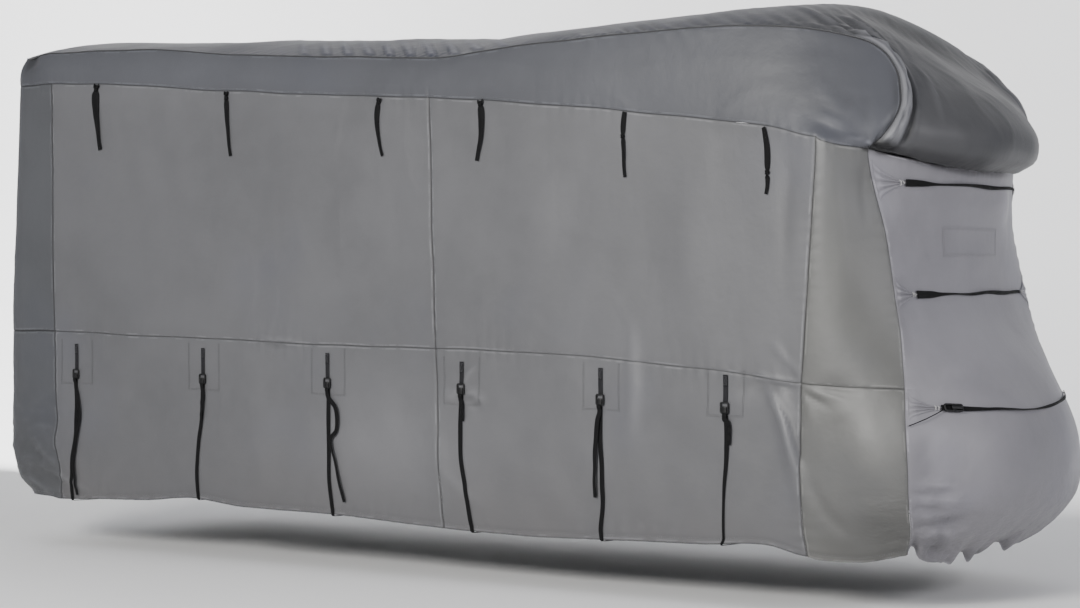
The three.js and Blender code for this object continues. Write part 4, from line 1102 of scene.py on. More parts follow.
def mesh_piece(name, points, faces, uv=None, sharp=None, marks=None):
    """A mesh object of points in the row's frame. uv and marks, such as the distance from a seam, are per
    point, and sharp is a mask of points: an edge between two of them is sharp."""
    mesh = bpy.data.meshes.new(name)
    mesh.from_pydata(np.asarray(points, float).tolist(), [], faces)
    mesh.update()
    mesh.polygons.foreach_set("use_smooth", np.ones(len(mesh.polygons), bool))
    for mark, values in (marks or {}).items():
        mesh.attributes.new(mark, "FLOAT", "POINT").data.foreach_set("value", values.astype(np.float32))
    loops = np.zeros(len(mesh.loops), np.int32)
    mesh.loops.foreach_get("vertex_index", loops)
    if uv is not None:
        layer = mesh.uv_layers.new(name="cut")
        layer.data.foreach_set("uv", np.asarray(uv, np.float32)[loops].ravel())
    if sharp is not None:
        ends = np.zeros(len(mesh.edges) * 2, np.int32)
        mesh.edges.foreach_get("vertices", ends)
        both = sharp[ends].reshape(-1, 2).all(axis=1)
        mesh.attributes.new("sharp_edge", "BOOLEAN", "EDGE").data.foreach_set("value", both)
    return placed(name, mesh)


def from_edge(points, faint):
    """The distance of every point of a grid from the nearest edge, in metres. faint is added to the
    distance from its start, end, low and high edge, so that the painted shadow and glint of a seam there show
    less."""
    along, across = travelled(points), travelled(crossed(points)).T
    gaps = (along, along[-1:] - along, across, across[:, -1:] - across)
    return np.min([gap + more for gap, more in zip(gaps, faint)], axis=0) * MM


def cloth_piece(name, points, out, uv, thick, faint, gap, painted_light):
    """A closed sheet from a grid in the tables' millimetres: its face, its back and its edges."""
    long, wide = points.shape[:2]
    inset = points.copy()
    for moved, grid in ((inset, points), (crossed(inset), crossed(points))):
        for edge, inner in ((0, 1), (-1, -2)):
            moved[edge] += unit(grid[inner] - grid[edge]) * gap
    face = quad_faces(long, wide)
    count = long * wide
    corner = np.arange(count).reshape(long, wide)
    ring = np.concatenate([corner[:-1, 0], corner[-1, :-1], corner[:0:-1, -1], corner[0, :0:-1]])
    after = np.roll(ring, -1)
    rim = np.stack([after, ring, ring + count, after + count], axis=1)
    faces = np.concatenate([face, face[:, ::-1] + count, rim])
    sharp = np.zeros(count, bool)
    sharp[ring] = True
    both = np.concatenate([inset.reshape(-1, 3), (inset - out * (thick / MM)).reshape(-1, 3)])
    maps = np.concatenate([uv.reshape(-1, 2)] * 2)
    marks = {"seam": np.concatenate([from_edge(points, faint).ravel()] * 2)}
    # The painted light and shade goes with the mesh as a mark.
    if painted_light is not None:
        marks["painted_light"] = np.concatenate([painted_light.ravel()] * 2)
    return mesh_piece(name, to_row(both), faces.tolist(), maps, np.concatenate([sharp, sharp]), marks)


def cut_size(points):
    """Width and length of the smallest upright rectangle that a panel is cut from, and its area."""
    along, across = travelled(points)[-1], travelled(crossed(points))[-1]
    a, b = points[1:, 1:] - points[:-1, :-1], points[:-1, 1:] - points[1:, :-1]
    area = np.linalg.norm(np.cross(a, b), axis=-1).sum() / 2
    return float(along.max()) * MM, float(across.max()) * MM, float(area) * MM * MM


def wear(piece, material):
    piece.data.materials.clear()
    piece.data.materials.append(material)
    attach(piece, "root")


def way_along(points):
    return unit(np.gradient(points, axis=0))


def ribbon_mesh(points, out, wide, thick, across=None, closed=False):
    """Points, faces and map of a strip with rounded edges along a path in the tables' millimetres. out
    is the direction of its face, and wide its width, for the whole path or at each point."""
    out = np.broadcast_to(out, points.shape)
    if closed:
        ahead = unit(np.roll(points, -1, axis=0) - np.roll(points, 1, axis=0))
    else:
        ahead = way_along(points)
    side = unit(np.cross(ahead, out)) if across is None else unit(np.broadcast_to(across, points.shape))
    up = unit(np.cross(side, ahead))
    section = [(-1, 0), (-0.9, -1), (0, -1.15), (0.9, -1), (1, 0), (0.9, 1), (0, 1.15), (-0.9, 1)]
    count = len(section)
    wide = np.broadcast_to(np.asarray(wide, float), (len(points),))
    rings = np.stack([
        points + side * (a * wide / 2)[:, None] + up * (b * thick / 2) for a, b in section
    ], axis=1)
    k = np.arange(count)
    start = (np.arange(len(points) - (0 if closed else 1)) * count)[:, None]
    next_ring = (start + count) % (count * len(points))
    around = (k + 1) % count
    faces = np.stack([start + k, next_ring + k, next_ring + around, start + around], axis=-1)
    faces = faces.reshape(-1, 4).tolist()
    if not closed:
        faces.append(list(range(count)))
        faces.append([count * len(points) - 1 - i for i in range(count)])
    shares = np.array([a for a, _ in section])
    maps = stack(shares * wide[:, None] / 2, travelled(points)[:, None])
    return rings.reshape(-1, 3), faces, maps.reshape(-1, 2) * MM


def joined(parts):
    """Several meshes of points, faces and maps as one."""
    points, faces, maps, base = [], [], [], 0
    for part_points, part_faces, part_map in parts:
        points.append(part_points)
        maps.append(part_map)
        faces += [[base + i for i in face] for face in part_faces]
        base += len(part_points)
    return np.concatenate(points), faces, np.concatenate(maps)


def panel_line(panel, side, inset):
    """Points at a distance inside one edge of a panel, and the directions out of the cloth there."""
    points, out = panel["points"], panel["out"]
    if side in ("start", "end"):
        points, out = crossed(points), crossed(out)
    if side in ("high", "end"):
        points, out = points[:, ::-1], out[:, ::-1]
    away = travelled(crossed(points)).T
    row = np.arange(len(points))
    after = np.maximum(np.argmax(away > inset, axis=1), 1)
    before = after - 1
    share = ((inset - away[row, before]) / (away[row, after] - away[row, before]))[:, None]
    return (
        lerp(points[row, before], points[row, after], share),
        unit(lerp(out[row, before], out[row, after], share)),
    )


def eased(values):
    """Rows of values with their corners cut, the ends kept."""
    cut = np.stack([lerp(values[:-1], values[1:], share) for share in (0.25, 0.75)], axis=1)
    return np.concatenate([values[:1], cut.reshape(-1, values.shape[1]), values[-1:]])


def turned(ahead, out, angle):
    """The direction out of a strip that is twisted about its own length by an angle at each point."""
    side = unit(np.cross(ahead, out))
    return out * np.cos(angle)[:, None] + side * np.sin(angle)[:, None]


def knot_parts(centre, ahead, out, wide):
    """A pulled knot in a strip of webbing: two turns round it that cross, and a bulge under them."""
    side = unit(np.cross(ahead, out))
    parts = []
    turn = np.linspace(0, 2 * np.pi, 18, endpoint=False)[:, None]
    for lean, shift in ((0.5, 3.5), (-0.45, -3.5)):
        path = (
            centre + ahead * shift + side * np.cos(turn) * wide * 0.52 + out * np.sin(turn) * wide * 0.34
            + ahead * np.cos(turn) * lean * wide * 0.3
        )
        around = unit(side * np.cos(turn) / 0.52 + out * np.sin(turn) / 0.34)
        parts.append(ribbon_mesh(path, around, wide * 0.42, 2.2, across=ahead, closed=True))
    along = np.linspace(-1, 1, 9)
    middle = centre + ahead * along[:, None] * wide * 0.5
    full = wide * (0.45 + 0.35 * np.sqrt(1 - along ** 2 * 0.96))
    parts.append(ribbon_mesh(middle, out, full, wide * 0.4))
    return parts


def tie_parts(cover, tie, far):
    """A tie: webbing that hangs from the hood seam with its knots and twists."""
    t = np.linspace(0, 1, 64)
    wide = tie["wide"]
    sway = tie["bow"] * np.sin(np.pi * t ** 0.85) + 3 * np.sin(2 * np.pi * 1.7 * t + tie["x"]) * t
    x, z = lerp(tie["x"], tie["end_x"], t) - sway, lerp(tie["top"], tie["end"], t)
    width = wide * (0.60 + 0.40 * np.sin(np.pi * np.minimum(t + 0.12, 1) ** 0.8))
    width = width * (1 - 0.5 * bell(t - tie["knot"], 0.05))
    spin = np.pi * tie["twist"] * smoothstep(t, 0.66, 0.76) + 0.3 * np.sin(5 * t + tie["x"])
    lift = 6 + 3 * t + 0.3 * width * np.abs(np.sin(spin))
    points, out = cover.beside_wall(x, z, lift, far)
    ahead = way_along(points)
    parts = [ribbon_mesh(points, turned(ahead, out, spin), width, WEBBING_THICK)]
    i = int(round(tie["knot"] * (len(t) - 1)))
    parts += knot_parts(points[i] + out[i] * 2, ahead[i], out[i], min(wide, 38) * 0.72)
    if tie["knot"] < 0.1:
        wide = 0.62 * min(wide, 48)
        for way in (-1, 1):
            bend = np.linspace(0, 1, 14)[:, None]
            side = unit(np.cross(ahead[2], out[2]))
            ear = (
                points[3] + out[3] * (4 + 7 * np.sin(np.pi * bend))
                + side * way * wide * (0.7 if way < 0 else 0.45) * np.sin(np.pi * bend * 0.55)
                + ahead[2] * wide * (0.4 * np.sin(np.pi * bend * 0.9) - 1.05 * bend)
            )
            parts.append(ribbon_mesh(ear, out[3], wide * 0.36, WEBBING_THICK))
    return parts


def belly_parts(cover, strap):
    """A belly strap: up the far skirt, under the hem, across below, up the near skirt, round the bar of
    the buckle and down again as the free tail."""
    x, head, hem_x = strap["x"], strap["head"], strap["hem_x"]
    low = float(LEVELS.read(place_of_x(hem_x, HEM_LOOK), "hem")) - HEM_CLEAR
    stop = strap["buckle"] - BUCKLE["tall"] / 2 - TURN_ROUND
    far_z = np.linspace(head, low + 60, 22)
    far_points, far_out = cover.beside_wall(lerp(x, hem_x, (head - far_z) / (head - low)), far_z, 6, True)
    far_edge, far_edge_out = cover.beside_wall([hem_x], [low + 30], 6, True)
    near_edge, near_edge_out = cover.beside_wall([hem_x], [low + 30], 6)
    under = np.linspace(-1, 1, 41)
    belly = stack(hem_x, -under * (far_edge[0, 1] - 40), low - 3 - BELLY_SAG * (1 - under ** 2))
    near_z = np.linspace(low + 60, stop, 24)
    share = (near_z - low) / (stop - low)
    sway = 2 * np.sin(2 * np.pi * (2.3 * share + x / 700)) * np.sin(np.pi * share)
    near_lift = 6 + 2.5 * np.sin(2 * np.pi * (1.6 * share + x / 900)) ** 2
    run = Table("z x", strap["run"])
    near_points, near_out = cover.beside_wall(run.read(near_z, "x") + sway, near_z, near_lift)
    rows = eased(np.concatenate([
        np.hstack([far_points, far_out]), np.hstack([far_edge, far_edge_out]),
        [[hem_x, far_edge[0, 1] - TURN_ROUND, low - 2, 0, 0.8, -0.6]],
        np.hstack([belly, stack(0, 0, -np.ones(len(belly)))]),
        [[hem_x, near_edge[0, 1] + TURN_ROUND, low - 2, 0, -0.8, -0.6]],
        np.hstack([near_edge, near_edge_out]), np.hstack([near_points, near_out]),
    ]))
    thin = strap["thin"] * (1 - smoothstep(rows[:, 2], 480, 900))
    parts = [ribbon_mesh(rows[:, :3], unit(rows[:, 3:]), WEBBING * (1 - thin), WEBBING_THICK)]
    top = near_points[-1]
    loop = np.array([
        [*top, 0, -1, 0], [*(top + [0, -1, 7]), 0, -0.8, 0.6], [*(top + [0, -6, 11]), 0, 0, 1],
        [*(top + [0, -12, 6]), 0, 0.9, 0.3], [*(top + [0, -13, -4]), 0, 1, 0],
    ])
    fall = np.linspace(0, 1, 46)
    free = Table("z x", strap["tail"])
    tail_z = lerp(stop - 20, strap["tail"][0][0], fall)
    tail_x = lerp(x, free.read(tail_z, "x"), smoothstep(fall, 0, 0.12))
    spin = 0.35 * np.sin(np.pi * fall) * np.sin(5 * fall + x)
    tail_lift = 14 + 4 * np.sin(3 * np.pi * fall) ** 2 + 9 * np.abs(np.sin(spin))
    tail, tail_out = cover.beside_wall(tail_x, tail_z, tail_lift)
    tail_rows = np.hstack([tail, -turned(way_along(tail), tail_out, spin)])
    rows = eased(np.concatenate([loop, tail_rows]))
    wide = np.interp(np.linspace(0, 1, len(rows)), [0, 0.1, 1], [WEBBING, WEBBING, WEBBING - 5])
    parts.append(ribbon_mesh(rows[:, :3], unit(rows[:, 3:]), wide, WEBBING_THICK))
    return parts


def head_parts(cover, strap):
    """The sewn head of a belly strap: folded back on itself at the top, and round the buckle below."""
    z = np.linspace(strap["head"], strap["buckle"] + BUCKLE["tall"] / 2 - 6, 18)
    points, out = cover.beside_wall(strap["x"], z, 6)
    under = ribbon_mesh(points, out, WEBBING, WEBBING_THICK)
    z = np.linspace(strap["head"] - 4, strap["head"] - 62, 8)
    points, out = cover.beside_wall(strap["x"], z, 8.4)
    return [under, ribbon_mesh(points, out, WEBBING - 2, WEBBING_THICK)]


def rounded_ring(wide, tall, radius):
    """A closed ring of points round a rectangle with round corners."""
    turn = np.linspace(0, np.pi / 2, 5)
    ring = []
    for i, (a, b) in enumerate(((1, 1), (-1, 1), (-1, -1), (1, -1))):
        middle = np.array([a * (wide / 2 - radius), b * (tall / 2 - radius)])
        angle = turn + i * np.pi / 2
        ring.append(middle + radius * np.stack([np.cos(angle), np.sin(angle)], axis=1))
    return np.concatenate(ring)


def fitting_parts(centre, across, ahead, out, wide, tall, thick, bar):
    """A moulded fitting for webbing: a frame with round corners, the bar that the strap turns round, and
    a ribbed lever over the bar."""
    ring = rounded_ring(wide - bar, tall - bar, 7)
    path = centre + ring[:, :1] * across + ring[:, 1:] * ahead
    parts = [ribbon_mesh(path, out, bar, thick * 0.62, closed=True)]
    along = np.linspace(-0.5, 0.5, 9)[:, None]
    path = centre + along * (wide - bar * 0.6) * across
    parts.append(ribbon_mesh(path, out, bar, thick * 0.5))
    rise = np.linspace(-0.12, 0.42, 34)[:, None]
    ribs = 0.75 * np.sin(rise * 2 * np.pi * 14) * (rise > 0.02)
    hump = thick * (0.52 - 0.9 * (rise - 0.16) ** 2) + ribs
    path = centre + rise * tall * ahead + hump * out
    parts.append(ribbon_mesh(path, out, wide - 2.6 * bar, thick * 0.28))
    for way in (-1, 1):
        lug = np.linspace(-0.1, 0.1, 5)[:, None]
        path = centre + way * (wide / 2 - bar * 0.7) * across + lug * tall * ahead + thick * 0.34 * out
        parts.append(ribbon_mesh(path, out, bar * 0.9, thick * 0.36))
    return parts


def front_strap_path(cover, strap, u, lift):
    """Points that a front strap hangs through, at places u, and the direction out of the cloth."""
    share = np.abs(u) / strap["tip"]
    rise = strap["sag"] * 0.8 * window(u, -0.1, 0.62, 0.70, 0.80)
    rise = rise + 3.0 * np.sin(u * 9 + strap["z"]) * (1 - share ** 2)
    return cover.on_front(u, strap["z"] - strap["sag"] * (1 - share * share) + rise, lift)


def front_strap_parts(cover, strap):
    """A front strap from the tip of one tab to the other, doubled near the tabs."""
    tip, end, middle = strap["tip"], strap["end"], strap["middle"]
    u = np.linspace(-tip, tip - 0.02, 150)
    share = np.abs(u) / tip
    wave = 1.6 * np.sin(u * 23 + strap["z"]) ** 2
    points, out = front_strap_path(cover, strap, u, 9 + wave)
    full = np.where(u < 0, end, middle * 1.1)
    wide = lerp(middle, full, smoothstep(share, 0.62, 0.86))
    wide = wide * (1 + 0.35 * np.sin(5 * u + strap["z"] / 9) ** 3)
    ahead = way_along(points)
    lean = 0.5 * np.sin(u * 6 + strap["z"]) * (1 - smoothstep(share, 0.55, 0.8))
    parts = [ribbon_mesh(points, turned(ahead, out, lean), wide, WEBBING_THICK)]
    if strap is FRONT_STRAPS[-1]:
        t = np.linspace(0, 1, 18)
        across, height = -lerp(0.99, tip - 0.03, t), lerp(978, strap["z"] - 2, t)
        cord, cord_out = cover.on_front(across, height, 9 + 5 * np.sin(np.pi * t))
        parts.append(ribbon_mesh(cord, cord_out, 5.0, 4.0))
    return parts


def tab_grid(cover, strap, far):
    """A gathered triangle of cloth from the cab corner seam to a strap, its pleats meeting at the tip."""
    t, w = np.meshgrid(np.linspace(0, 1, 22), np.linspace(0, 1, 41), indexing="ij")
    share = lerp(TAB_ROOT_SHARE, strap["tip"], t)
    high = lerp(strap["root_high"], strap["z"] + strap["half"] * 0.3, np.sqrt(t))
    low = lerp(strap["root_low"], strap["z"] - strap["half"] * 0.3, np.sqrt(t))
    shrink = lerp(1, 16 / strap["half"], t * t)
    height = lerp(lerp(low, strap["z"], 1 - shrink), lerp(high, strap["z"], 1 - shrink), w)
    pleat = np.sin(2 * np.pi * (w * TAB_PLEATS + 0.12 * np.sin(5 * t))) * np.sin(np.pi * w)
    lift = 2.6 + (1 + pleat * lerp(5, 3, t) + 6 * np.sin(np.pi * w)) * smoothstep(t, 0, 0.2)
    points, _ = cover.on_front(share if far else -share, height, lift)
    if far:
        points = points[::-1]
    return points, unit(grid_directions(points))


def tab_zigzag(points, out, far):
    """The bar of zigzag stitches across a tab near its tip."""
    if far:
        points, out = points[::-1], out[::-1]
    turns = np.arange(13)
    lines = []
    for base in (16.6, 18.8):
        i = base + 1.1 * (turns % 2)
        j = np.linspace(2, len(points[0]) - 3, 13)
        spot, way = (np.array([cell(grid, a, b) for a, b in zip(i, j)]) for grid in (points, out))
        lines.append((spot + way * 1.2, way))
    return lines


def cell(grid, i, j):
    """A grid read between its points."""
    a, b = int(i), int(j)
    s, t = i - a, j - b
    c, d = (min(k + 1, size - 1) for k, size in zip((a, b), grid.shape))
    return lerp(lerp(grid[a, b], grid[c, b], s), lerp(grid[a, d], grid[c, d], s), t)


class Value:
    """A socket of a material's nodes that is used like a number in an expression."""

    def __init__(self, shade, socket):
        self.shade = shade
        self.socket = socket

    def maths(self, operation, *others):
        values = dict(enumerate((self, *others)))
        return self.shade.add("ShaderNodeMath", {"operation": operation}, values)

    def __add__(self, other):
        return self.maths("ADD", other)

    def __mul__(self, other):
        return self.maths("MULTIPLY", other)

    def __sub__(self, other):
        return self.maths("SUBTRACT", other)

    def __rsub__(self, other):
        return self.shade.add("ShaderNodeMath", {"operation": "SUBTRACT"}, {0: other, 1: self})

    __radd__, __rmul__ = __add__, __mul__

    def waves(self, pitch):
        """The angle of a wave that repeats at the pitch."""
        return self * (2 * math.pi / pitch)

    def sine(self):
        return self.maths("SINE")

    def size(self):
        return self.maths("ABSOLUTE")

    def between(self, low, high):
        """0 below low, 1 above high and smooth between."""
        return self.shade.add(
            "ShaderNodeMapRange", {"interpolation_type": "SMOOTHSTEP"},
            {"Value": self, "From Min": low, "From Max": high},
        )


class Shade:
    """The nodes of one material."""

    def __init__(self, name):
        self.material = bpy.data.materials.new(name)
        self.material.use_nodes = True
        self.tree = self.material.node_tree
        self.tree.nodes.clear()

    def add(self, kind, settings=None, sockets=None, output=0):
        """Adds a node with its settings, then the values or links of its sockets."""
        node = self.tree.nodes.new(kind)
        for name, value in (settings or {}).items():
            setattr(node, name, value)
        for name, value in (sockets or {}).items():
            if isinstance(value, Value):
                self.tree.links.new(value.socket, node.inputs[name])
            else:
                node.inputs[name].default_value = value
        return Value(self, node.outputs[output])

    def place(self):
        return self.add("ShaderNodeTexCoord", output="Object")

    def part(self, at, axis):
        return self.add("ShaderNodeSeparateXYZ", None, {0: at}, axis)

    def mark(self, name):
        """The value that the mesh has under that name."""
        return self.add("ShaderNodeAttribute", {"attribute_name": name}, None, "Fac")

    def cut(self):
        """The two coordinates along the cloth or the webbing, in metres."""
        spot = self.add("ShaderNodeUVMap", {"uv_map": "cut"})
        return self.part(spot, "X"), self.part(spot, "Y")

    def noise(self, at, scale, detail, rough, settings=None):
        sockets = {"Vector": at, "Scale": scale, "Detail": detail, "Roughness": rough}
        return self.add("ShaderNodeTexNoise", settings, sockets)

    def squeezed(self, at, scale):
        sockets = {"Vector": at, "Scale": scale}
        return self.add("ShaderNodeMapping", {"vector_type": "POINT"}, sockets)

    def mix(self, share, a, b):
        return self.add("ShaderNodeMix", {"data_type": "RGBA"}, {0: share, 6: a, 7: b}, 2)

    def done(self, colour, roughness, height, **constants):
        """Ends the material in one surface whose bump is a height in metres."""
        normal = self.add("ShaderNodeBump", None, {"Strength": 1.0, "Distance": 1.0, "Height": height})
        sockets = {"Base Color": colour, "Roughness": roughness, "Normal": normal}
        sockets.update({name.replace("_", " "): value for name, value in constants.items()})
        surface = self.add("ShaderNodeBsdfPrincipled", None, sockets)
        out = self.tree.nodes.new("ShaderNodeOutputMaterial")
        self.tree.links.new(surface.socket, out.inputs["Surface"])
        return self.material


def tinted(colour, share):
    return (*(min(c * share, 1) for c in colour), 1)


def cloth_material(name, colour, warm=1.0, gloss=0.5, pale=2.3, blue=0.0):
    """Coated woven cloth: soft mottling, faint fold lines, a fine weave and a satin sheen, with light and
    shade painted in. pale is how bright a painted highlight makes it, and the last setting how much bluer the
    roof is painted than the nose, as a painted reflection of the sky."""
    shade = Shade(name)
    at = shade.place()
    u, v = shade.cut()
    weave = u.waves(THREADS).sine() * v.waves(THREADS).sine()
    cloud = shade.noise(at, 1.3, 4.0, 0.55)
    haze = shade.noise(at, 0.9, 3.0, 0.5)
    mottle = shade.noise(at, 9.0, 4.0, 0.6)
    fleck = shade.noise(at, 420.0, 2.0, 0.5)
    streak = shade.noise(shade.squeezed(at, (1.0, 1.0, 0.22)), 5.5, 3.0, 0.5)
    worn = shade.noise(at, 3.2, 3.0, 0.6, {"noise_type": "RIDGED_MULTIFRACTAL"})
    crumple = shade.noise(at, 15.0, 4.0, 0.55)
    up, ahead = shade.part(at, "Z"), shade.part(at, "X")
    # How low the cloth is, for the painted shade towards the hem.
    low = 1 - up.between(-2.95, -2.2)
    ends = 1 - ahead.between(-3.2, -2.7) + ahead.between(2.85, 3.1)
    crushed = shade.noise(shade.squeezed(at, (1.0, 1.0, 2.4)), 9.0, 4.0, 0.6)
    tone = shade.mix(cloud.between(0.3, 0.7), tinted(colour, 0.91), tinted(colour, 1.08))
    bluish = (colour[0] * 0.95, colour[1] * 0.97, colour[2] * 1.10, 1)
    tone = shade.mix(haze.between(0.5, 0.72) * 0.45, tone, bluish)
    # Painted reflection: the roof is tinted bluer than the nose, as the sky mirrored in it.
    if blue:
        roof = (colour[0] * 0.9, colour[1] * 0.96, colour[2] * (1 + blue), 1)
        tone = shade.mix(1 - ahead.between(1.7, 2.7), tone, roof)
    for share, times in (
        (mottle.between(0.35, 0.7) * 0.3, 1.12),
        (fleck.between(0.4, 0.75) * 0.18, 0.72),
        (worn.between(0.75, 1.3) * 0.10, 1.25),
    ):
        tone = shade.mix(share, tone, tinted(colour, times))
    seam, painted_light = shade.mark("seam"), shade.mark("painted_light")
    # The seam's groove gets a painted shadow, a thin line beside it a painted glint, and near the seams the
    # cloth is darker in patches.
    seam_shadow = 1 - seam.between(0.001, 0.0095)
    seam_glint = seam.between(0.008, 0.012) * (1 - seam.between(0.014, 0.021)) * mottle.between(0.45, 0.6)
    near_seam_patches = (1 - seam.between(0.01, 0.09)) * mottle
    # Painted shade: the cloth is darker and a little warmer towards the hem, in cloudy patches.
    painted_low_shade = (colour[0] * 0.86 * warm, colour[1] * 0.84, colour[2] * 0.78, 1)
    tone = shade.mix(low * cloud.between(0.2, 0.75) * 0.55, tone, painted_low_shade)
    # Darker patches near the seams, the painted light and shade of the mesh, the painted glint beside a seam
    # and the painted shadow in its groove.
    for share, times in (
        (near_seam_patches * 0.3, 0.82),
        (painted_light.maths("MAXIMUM", 0.0), pale),
        ((painted_light * -1.0).maths("MAXIMUM", 0.0), 0.25),
        (seam_glint * 0.5, 1.9),
        (seam_shadow * (0.5 + mottle * 0.6), 0.22),
    ):
        tone = shade.mix(share, tone, tinted(colour, times))
    rough = 0.43 + cloud * 0.08 + mottle * 0.07 - worn * 0.02
    height = weave * 0.00002 + crumple * 0.0013 + streak * 0.0022 + mottle * 0.0016 + fleck * 0.00004
    height = height + crushed * (1 - up.between(-2.85, -2.35)) * ends * 0.017
    return shade.done(
        tone, rough, height,
        Sheen_Weight=0.06, Sheen_Roughness=0.45, Specular_IOR_Level=gloss,
    )


def webbing_material(name, colour):
    """Woven strap: ribs across it, selvedges at its edges and a dull sheen."""
    shade = Shade(name)
    at = shade.place()
    u, v = shade.cut()
    ribs = v.waves(RIBS).sine()
    cords = (u.waves(CORDS_ACROSS) + v.waves(CORDS_ALONG)).sine()
    edge = u.size().between(0.0095, 0.0125)
    rub = shade.noise(at, 45.0, 4.0, 0.6)
    tone = shade.mix(rub.between(0.45, 0.8) * 0.5, tinted(colour, 0.8), tinted(colour, 1.9))
    tone = shade.mix(edge * 0.35, tone, tinted(colour, 1.6))
    height = ribs * 0.00010 + cords * 0.00006 + rub * 0.0003
    return shade.done(tone, 0.68 + rub * 0.16, height, Sheen_Weight=0.02, Specular_IOR_Level=0.14)


def plastic_material(name, colour):
    """Moulded plastic with a fine grain, a little worn."""
    shade = Shade(name)
    at = shade.place()
    grain = shade.noise(at, 900.0, 2.0, 0.5)
    rub = shade.noise(at, 60.0, 3.0, 0.6)
    tone = shade.mix(rub.between(0.5, 0.8) * 0.5, tinted(colour, 1), (0.014, 0.014, 0.0145, 1))
    return shade.done(tone, 0.42 + rub * 0.2, grain * 0.00006 + rub * 0.0001, Specular_IOR_Level=0.3)


def thread_material(name, colour):
    """Twisted thread."""
    shade = Shade(name)
    at = shade.place()
    strand = shade.noise(at, 700.0, 2.0, 0.5)
    tone = shade.mix(strand.between(0.35, 0.65), tinted(colour, 0.8), tinted(colour, 1.2))
    return shade.done(tone, 0.55 + strand * 0.1, strand * 0.0001, Sheen_Weight=0.2)


def floor_material(name, colour):
    """A pale, even studio floor and backdrop, which a camera behind it looks through."""
    shade = Shade(name)
    at = shade.place()
    cloud = shade.noise(at, 0.6, 2.0, 0.5)
    tone = shade.mix(cloud, tinted(colour, 0.985), tinted(colour, 1.015))
    behind = shade.add("ShaderNodeNewGeometry", output="Backfacing")
    seen = shade.add("ShaderNodeLightPath", output="Is Camera Ray")
    return shade.done(
        tone, 0.8 + cloud * 0.05, cloud * 0.0005, Specular_IOR_Level=0.2, Alpha=1 - behind * seen,
    )


def finish_named(name):
    """The cover's material of that name, made when it is first wanted."""
    if name in bpy.data.materials:
        return bpy.data.materials[name]
    scene = bpy.context.scene
    cloth, thread = scene.cover, scene.cover_stitches.thread
    make, colour, more = {
        "cover_top": (cloth_material, cloth.top, {"gloss": 0.3, "pale": 3.0, "blue": 0.35}),
        "cover_hood": (cloth_material, cloth.hood, {}),
        "cover_cab": (cloth_material, cloth.cab, {"warm": 1.03}),
        "cover_wall": (cloth_material, cloth.wall, {"warm": 1.05}),
        "cover_front": (cloth_material, cloth.front, {}),
        # The rear's darker copy of the wall cloth is painted shade.
        "cover_rear": (cloth_material, cloth.rear, {}),
        "cover_webbing": (webbing_material, cloth.webbing, {}),
        "cover_head": (webbing_material, [c * 4.5 for c in cloth.webbing], {}),
        "cover_plastic": (plastic_material, (0.005, 0.005, 0.0055), {}),
        "cover_thread": (thread_material, thread, {}),
        "cover_dark_thread": (thread_material, (0.034, 0.034, 0.036), {}),
        "cover_bright_thread": (thread_material, (0.62, 0.62, 0.60), {}),
        "cover_piping": (thread_material, (0.012, 0.0125, 0.015), {}),
        "cover_floor": (floor_material, scene.cover_stage.floor, {}),
    }[name]
    return make(name, tuple(colour), **more)


CLOTH_LOOKS = {
    "top_panel": "top", "band_R": "hood", "band_L": "hood", "front_panel": "front",
    "rear_upper": "rear", "rear_skirt": "rear", "cab_upper_R": "cab", "cab_upper_L": "cab",
    "cab_skirt_R": "cab", "cab_skirt_L": "cab",
}
SLOTS = {"top": "hood_cloth", "hood": "hood_cloth", "front": "front_cloth"}
# How much further from its edges, in millimetres, a panel's seams count in its colour, so that their painted
# shadow and glint show less.
FAINT_SEAMS = {
    "front_panel": (4, 4, 9, 3), "cab_upper_R": (0, 4, 2, 3), "cab_upper_L": (4, 0, 2, 3),
    "cab_skirt_R": (0, 4, 6, 2), "cab_skirt_L": (4, 0, 6, 2), "band_R": (0, 0, 2.5, 0),
    "band_L": (0, 0, 2.5, 0), "side_rear_upper_R": (0, 0, 3, 2.5), "side_front_upper_R": (0, 0, 3.5, 2.5),
    "skirt_rear_R": (0, 0, 0, 3), "skirt_front_R": (0, 0, 0, 3.5),
}
PLAIN_EDGES = (60, 60, 60, 60)
# The least share of its rectangle that a sheet's area is given as.
LEAST_AREA = 0.31
# The two sides, and whether each is the far one.
SIDES = {"R": False, "L": True}
MADE = {}


def dressed():
    """The dressed cloth, made once."""
    if "cover" not in MADE:
        sizes = bpy.context.scene.cover
        steps = (sizes.step, sizes.rise_step, sizes.across_step, sizes.pucker)
        MADE["cover"] = Cover(*(size / MM for size in steps))
    return MADE["cover"]


def add_cloth(node, points, out, uv, look="front", faint=PLAIN_EDGES, gap=0, painted_light=None):
    """A sheet of cloth in place of its node. The rectangle that it is cut from and its own area are worked
    out, but not used.
    """
    thick = bpy.context.scene.cover.thick
    piece = cloth_piece(f"{node}_cloth", points, out, uv, thick, faint, gap, painted_light)
    wear(piece, finish_named(f"cover_{look}"))
    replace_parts(piece, node)
    wide, long, area = cut_size(points)
    area = max(min(area, wide * long), LEAST_AREA * wide * long)


def add_parts(name, parts, material):
    """One piece of several meshes in the tables' millimetres."""
    points, faces, maps = joined(parts)
    piece = mesh_piece(name, to_row(points), faces, maps)
    wear(piece, finish_named(material))
    return piece


def add_webbing(node, parts, material="cover_webbing"):
    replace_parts(add_parts(f"{node}_webbing", parts, material), node)


def add_fitting(node, parts):
    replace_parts(add_parts(f"{node}_fitting", parts, "cover_plastic"), node)


